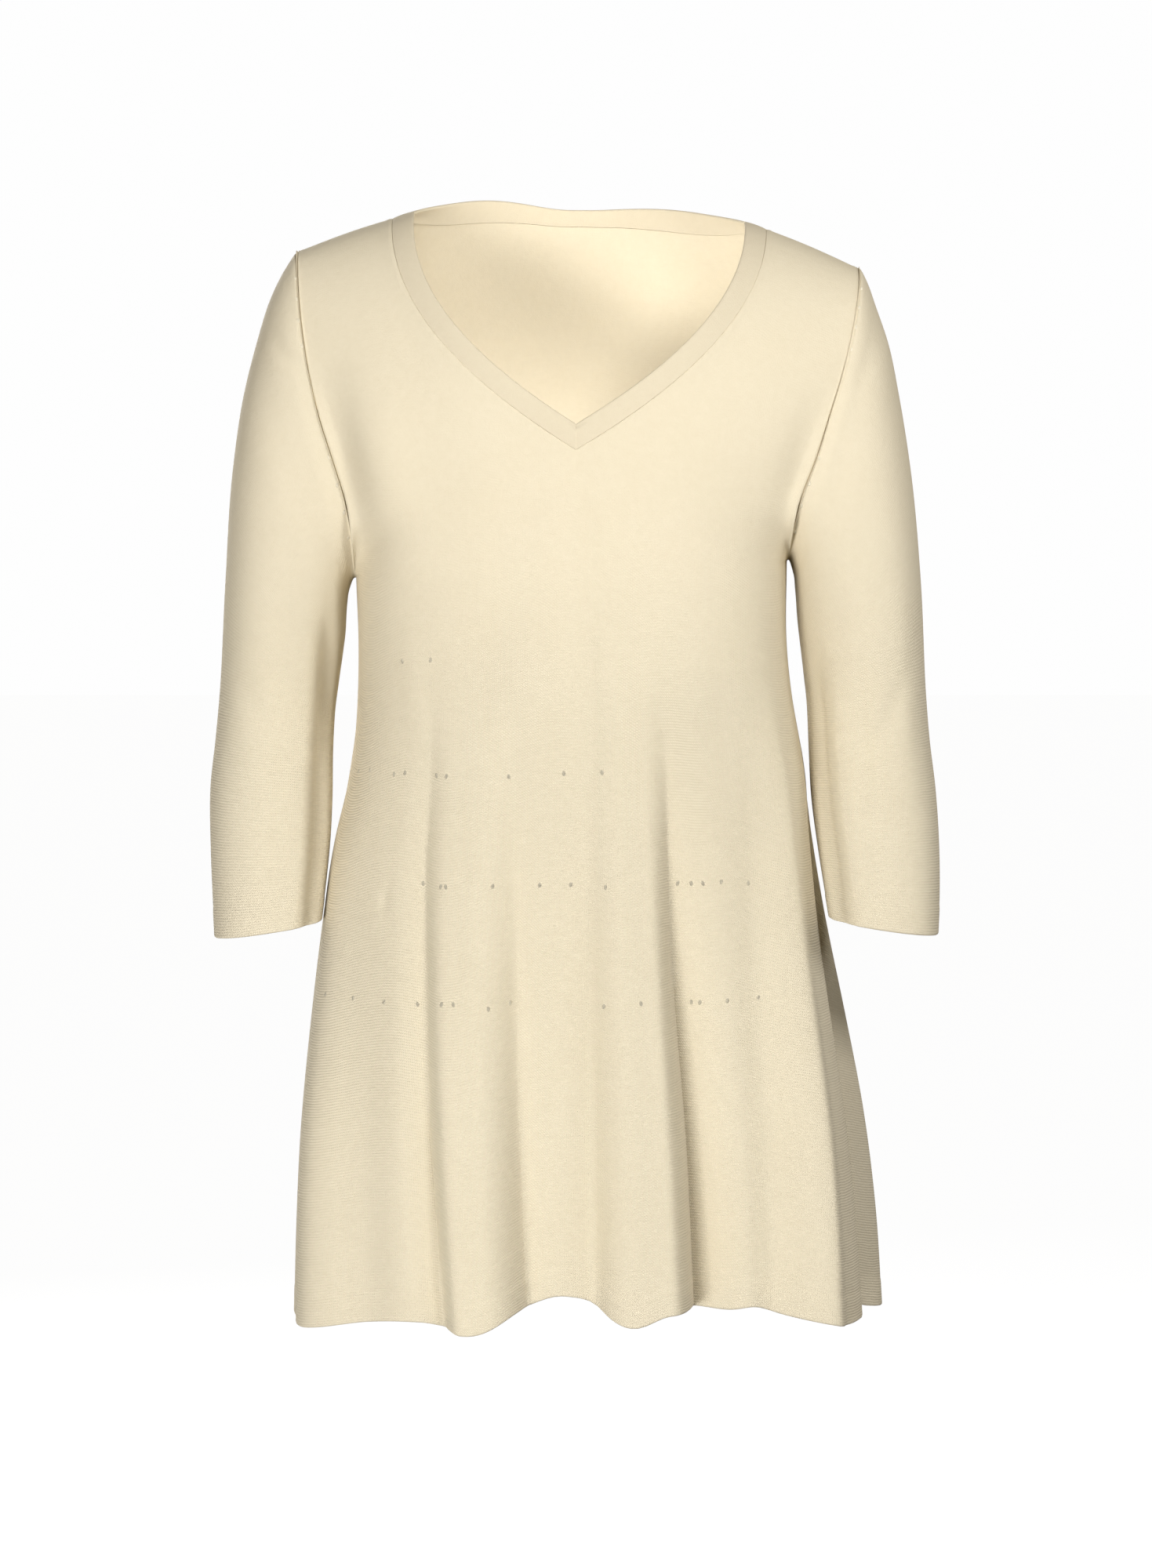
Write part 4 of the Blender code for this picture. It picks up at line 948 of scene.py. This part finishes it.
def marks_piece(cloth, spots):
    """Raised stitches on a piece: closed half ellipsoids of ten sides, one on the cloth's
    nearest point to each spot, lying along its row and standing out along its direction."""
    gaps = np.linalg.norm(cloth.points[None] - spots[:, None], axis=-1)
    nearest = np.unique(np.argmin(gaps, axis=1))
    out = cloth.normals[nearest]
    row = unit(np.cross(out, (0.0, 0.0, 1.0)))
    tilt = np.sin(np.arange(len(nearest)) * 2.4)[:, None] * 0.35
    row = unit(row + np.cross(out, row) * tilt)
    rise = np.radians([0.0, 0.0, 25.0, 50.0, 72.0])
    round_way = np.arange(10) / 10 * 2 * math.pi
    length, width, height = MARK_SIZE
    ring = np.cos(rise)[:, None]
    along, across = ring * np.cos(round_way) * length / 2, ring * np.sin(round_way) * width / 2
    up = np.repeat(np.sin(rise) * height, 10).reshape(5, 10) - 0.0004
    up[0] -= 0.0004
    points = sum(way[:, None, None, :] * size[None, :, :, None] for way, size in (
        (row, along), (np.cross(out, row), across), (out, up)))
    points = (cloth.points[nearest][:, None, None, :] + points).reshape(-1, 3)
    faces = []
    for start in range(0, len(points), 50):
        for k in range(4):
            low = start + 10 * k
            faces += [(low + i, low + (i + 1) % 10, low + 10 + (i + 1) % 10, low + 10 + i)
                      for i in range(10)]
        faces += [tuple(range(start + 9, start - 1, -1)), tuple(range(start + 40, start + 50))]
    mesh = bpy.data.meshes.new(cloth.name + "_marks")
    mesh.from_pydata(points.tolist(), [], faces)
    mesh.uv_layers.new(name="knit")
    mesh.shade_smooth()
    mesh.set_sharp_from_angle(angle=math.radians(62))
    piece = bpy.data.objects.new(mesh.name, mesh)
    bpy.context.scene.collection.objects.link(piece)
    return piece


def mark_spots(cloth):
    """Where a piece's raised stitches go."""
    if cloth.name.startswith("sleeve"):
        return cloth.spots
    face = -1 if cloth.name == "front_panel" else 1
    spots = []
    for height, outs in FRONT_MARKS if face < 0 else BACK_MARKS:
        row = cloth.points[np.abs(cloth.points[:, 2] - height) < 0.004]
        for out in outs:
            spots.append(row[np.argmin(np.abs(row[:, 0] - out) + np.abs(row[:, 2] - height))])
    return np.array(spots)


class Value:
    """A number in a material. Arithmetic on it adds the Math nodes."""

    def __init__(self, finish, socket):
        self.finish, self.socket = finish, socket

    def maths(self, operation, *others):
        inputs = dict(enumerate((self, *others)))
        node = self.finish.node("ShaderNodeMath", {"operation": operation}, inputs)
        return Value(self.finish, node.outputs[0])

    def __add__(self, other):
        return self.maths("ADD", other)

    def __sub__(self, other):
        return self.maths("SUBTRACT", other)

    def __rsub__(self, other):
        return (self * -1.0) + other

    def __mul__(self, other):
        return self.maths("MULTIPLY", other)

    def __truediv__(self, other):
        return self.maths("DIVIDE", other)

    def __pow__(self, other):
        return self.maths("POWER", other)

    def __mod__(self, other):
        return self.maths("FLOORED_MODULO", other)

    __radd__, __rmul__ = __add__, __mul__

    def sine(self):
        return self.maths("SINE")

    def size(self):
        return self.maths("ABSOLUTE")


class Finish:
    """A material under construction."""

    def __init__(self, name):
        self.material = bpy.data.materials.new(name)
        self.material.use_nodes = True
        self.tree = self.material.node_tree
        self.shader = self.tree.nodes["Principled BSDF"]

    def node(self, kind, settings=None, inputs=None):
        """Adds a node: its settings first, then the values or links of its sockets."""
        node = self.tree.nodes.new(kind)
        for name, value in (settings or {}).items():
            setattr(node, name, value)
        for name, value in (inputs or {}).items():
            self.put(node.inputs[name], value)
        return node

    def put(self, socket, value):
        if isinstance(value, Value):
            value = value.socket
        if isinstance(value, bpy.types.NodeSocket):
            self.tree.links.new(value, socket)
        else:
            socket.default_value = value

    def value(self, socket):
        return Value(self, socket)

    def noise(self, place, scale, detail=3.0, roughness=0.55):
        node = self.node("ShaderNodeTexNoise", None, {
            "Vector": place, "Scale": scale, "Detail": detail, "Roughness": roughness})
        return self.value(node.outputs["Fac"])

    def blend(self, share, low, high):
        """A colour between two others."""
        node = self.node("ShaderNodeMix", {"data_type": "RGBA"})
        self.put(node.inputs["Factor"], share)
        self.put(node.inputs["A"], low)
        self.put(node.inputs["B"], high)
        return node.outputs["Result"]


def knit_finish(name, light, dark_tone_and_hollow_shade, wale=0.0015, course=0.00185, depth=0.0006):
    """Fine plain knit in cream yarn. Each stitch is a V: its course bows with the distance
    from the middle of its wale, and its height is half a cosine of that. Slow noise moves
    the stitches a little, and quick noise is the yarn's fuzz. The colour runs between a
    paler and a darker tone. The slow mottled noise is random tone. The stitch, cloud and
    fuzz terms that raise the bump also lighten the colour, which is painted shade in the
    grooves between the courses and in the hollows of the relief."""
    finish = Finish(name)
    place = finish.node("ShaderNodeTexCoord").outputs["Object"]
    knit = finish.node("ShaderNodeUVMap", {"uv_map": "knit"}).outputs["UV"]
    split = finish.node("ShaderNodeSeparateXYZ", None, {0: knit})
    along, up = finish.value(split.outputs["X"]), finish.value(split.outputs["Y"])
    wander = finish.noise(place, 55.0, 2.0) - 0.5
    wale_share = ((along + wander * 0.0012) / wale) % 1.0
    leg = ((wale_share - 0.5).size()) * 2.0
    phase = (up + wander * 0.0016) / course + leg * 0.4
    stitch = (phase * (2 * math.pi)).sine() * 0.5 + 0.5
    rib = 1.0 - leg ** 3.0
    fuzz = finish.noise(place, 1500.0, 4.0, 0.65)
    mottle = finish.noise(place, 14.0, 3.0)
    cloud = finish.noise(place, 190.0, 3.0, 0.6)
    low = finish.node("ShaderNodeSeparateXYZ", None, {0: place}).outputs["Z"]
    clear = finish.node("ShaderNodeMapRange", {"interpolation_type": "SMOOTHSTEP"}, {
        "Value": low, "From Min": -0.15, "From Max": -0.42, "To Min": 0.12, "To Max": 1.0})
    clear = finish.value(clear.outputs["Result"])
    height = (stitch * 0.7 + rib * 0.3) * clear + fuzz * 0.5 + cloud * 0.7
    # Painted shade: the stitch, cloud and fuzz terms that raise the bump also lighten the colour, so
    # grooves and hollows are darker. The mottle is random tone.
    tone_and_hollow_shade = mottle * 0.4 + cloud * 0.5 + stitch * clear * 0.25 + fuzz * 0.3 - 0.2
    finish.put(finish.shader.inputs["Base Color"], finish.blend(tone_and_hollow_shade, (*dark_tone_and_hollow_shade, 1.0), (*light, 1.0)))
    finish.put(finish.shader.inputs["Roughness"], cloud * 0.12 + 0.84)
    finish.shader.inputs["Metallic"].default_value = 0.0
    finish.shader.inputs["Specular IOR Level"].default_value = 0.2
    finish.shader.inputs["Sheen Weight"].default_value = 0.12
    finish.shader.inputs["Sheen Roughness"].default_value = 0.5
    finish.shader.inputs["Sheen Tint"].default_value = (1.0, 0.95, 0.85, 1.0)
    bump_node = finish.node("ShaderNodeBump", None, {
        "Strength": 0.8, "Distance": depth, "Height": height})
    finish.put(finish.shader.inputs["Normal"], bump_node.outputs["Normal"])
    return finish.material


def plain_finish(name, colour, glow):
    finish = Finish(name)
    finish.shader.inputs["Base Color"].default_value = (*colour, 1.0)
    finish.shader.inputs["Roughness"].default_value = 0.9
    finish.shader.inputs["Emission Color"].default_value = (1.0, 1.0, 1.0, 1.0)
    finish.shader.inputs["Emission Strength"].default_value = glow
    return finish.material


def soft_box(name, place, aim, size, power, colour=(1.0, 1.0, 1.0)):
    """A square soft light at a place, turned to face its aim."""
    light = bpy.data.lights.new(name, "AREA")
    light.shape, light.size, light.energy, light.color = "SQUARE", size, power, colour
    lamp = bpy.data.objects.new(name, light)
    bpy.context.scene.collection.objects.link(lamp)
    lamp.location = place
    way = np.array(aim) - np.array(place)
    flat = math.hypot(way[0], way[1])
    lamp.rotation_euler = (math.atan2(flat, -way[2]), 0, math.atan2(way[1], way[0]) - math.pi / 2)


def studio():
    """A pale floor under the hanging tunic, a pale surround and soft boxes in front."""
    scene = bpy.context.scene
    scene.view_settings.view_transform = "Standard"
    world = bpy.data.worlds.new("pale_surround")
    world.use_nodes = True
    tree = world.node_tree
    ground = tree.nodes["Background"]
    ground.inputs["Color"].default_value = (1.0, 0.80, 0.52, 1.0)
    ground.inputs["Strength"].default_value = 0.07
    seen = tree.nodes.new("ShaderNodeBackground")
    seen.inputs["Color"].default_value = (1.0, 1.0, 1.0, 1.0)
    seen.inputs["Strength"].default_value = 0.99
    mix, rays = tree.nodes.new("ShaderNodeMixShader"), tree.nodes.new("ShaderNodeLightPath")
    tree.links.new(rays.outputs["Is Camera Ray"], mix.inputs[0])
    tree.links.new(ground.outputs[0], mix.inputs[1])
    tree.links.new(seen.outputs[0], mix.inputs[2])
    tree.links.new(mix.outputs[0], tree.nodes["World Output"].inputs["Surface"])
    scene.world = world
    side, low = 30.0, -1.42
    mesh = bpy.data.meshes.new("studio_floor")
    corners = [(-side, -side, low), (side, -side, low), (side, side, low), (-side, side, low)]
    mesh.from_pydata(corners, [], [(0, 1, 2, 3)])
    floor = bpy.data.objects.new("studio_floor", mesh)
    scene.collection.objects.link(floor)
    mesh.materials.append(plain_finish("pale_floor", (0.05, 0.05, 0.05), 0.97))
    floor.visible_diffuse = floor.visible_glossy = False
    warm = (1.0, 0.99, 0.965)
    soft_box("key_box", (1.45, -2.2, 1.5), (0.0, 0.0, -0.25), 0.8, 54.0, warm)
    soft_box("side_box", (2.6, -0.9, 0.4), (0.0, 0.0, -0.25), 0.8, 18.0, warm)
    soft_box("low_box", (-1.2, -2.8, -1.15), (0.0, 0.0, -0.4), 1.0, 94.0, warm)
    soft_box("hem_box", (-0.9, -1.6, -1.4), (0.0, -0.1, -0.6), 0.8, 12.0, warm)
    soft_box("neck_lamp", (0.0, -0.35, 0.30), (0.0, 0.09, -0.09), 0.12, 0.25, warm)
    soft_box("inside_lamp", (0.0, -0.02, -0.24), (0.0, 0.07, -0.04), 0.14, 0.30)
    soft_box("back_box", (-0.9, 3.0, 0.7), (0.0, 0.0, -0.35), 1.4, 125.0, warm)
    lens = bpy.data.cameras.new("camera")
    lens.lens, lens.sensor_width, lens.clip_end = 92.0, 36.0, 100.0
    camera = bpy.data.objects.new("camera", lens)
    scene.collection.objects.link(camera)
    camera.location = (0.0, -2.8, -0.23)
    camera.rotation_euler = (math.radians(90 - 3.35), 0, 0)
    scene.camera = camera


def dress():
    """Makes every piece of the tunic, and puts it in its knit."""
    front_columns = {side: gathered(-1, side, FRONT_HALF_COLUMNS) for side in (-1, 1)}
    columns, tops, nears = {}, {}, {}
    for side in (-1, 1):
        columns[side], tops[side], nears[side] = back_columns(side, BACK_HALF_COLUMNS)
    front = front_panel(front_columns)
    cloths = [front, back_panel(columns, tops)]
    cloths += [front_band(side, front.neck[side]) for side in (-1, 1)]
    cloths.append(back_band(columns, tops, nears))
    cloths += [sleeve(side) for side in (-1, 1)]
    share_seam_normals(cloths)
    # Each knit's second colour is its darker end: random darker tone, and painted shade in the knit's
    # grooves and hollows.
    body_knit = knit_finish("cream_knit", (0.775, 0.705, 0.555), (0.705, 0.625, 0.465))
    band_knit = knit_finish("cream_band_knit", (0.725, 0.655, 0.51), (0.665, 0.585, 0.435))
    # The raised stitches' knit is paler than the cloth's. This is a painted highlight: they are the
    # same yarn and only look paler where they catch the light.
    painted_highlight_loop_knit = knit_finish("cream_loops", (0.82, 0.76, 0.62), (0.79, 0.72, 0.57))
    for cloth in cloths:
        band_piece, panel = cloth.name.startswith("neckband"), cloth.name.endswith("panel")
        push = creased(cloth.name, cloth.points, cloth.normals) if panel else 0.0
        cloth.points = cloth.points + cloth.normals * (cloth.relief + push)[:, None]
        parts = [cloth_piece(cloth)]
        if not band_piece:
            parts.append(marks_piece(cloth, mark_spots(cloth)))
        for part in parts:
            # Raised stitches take the paler knit, a painted highlight.
            own = painted_highlight_loop_knit if part is not parts[0] else band_knit if band_piece else body_knit
            part.data.materials.append(own)
            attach(part, "root")
        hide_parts(cloth.name)


dress()
studio()
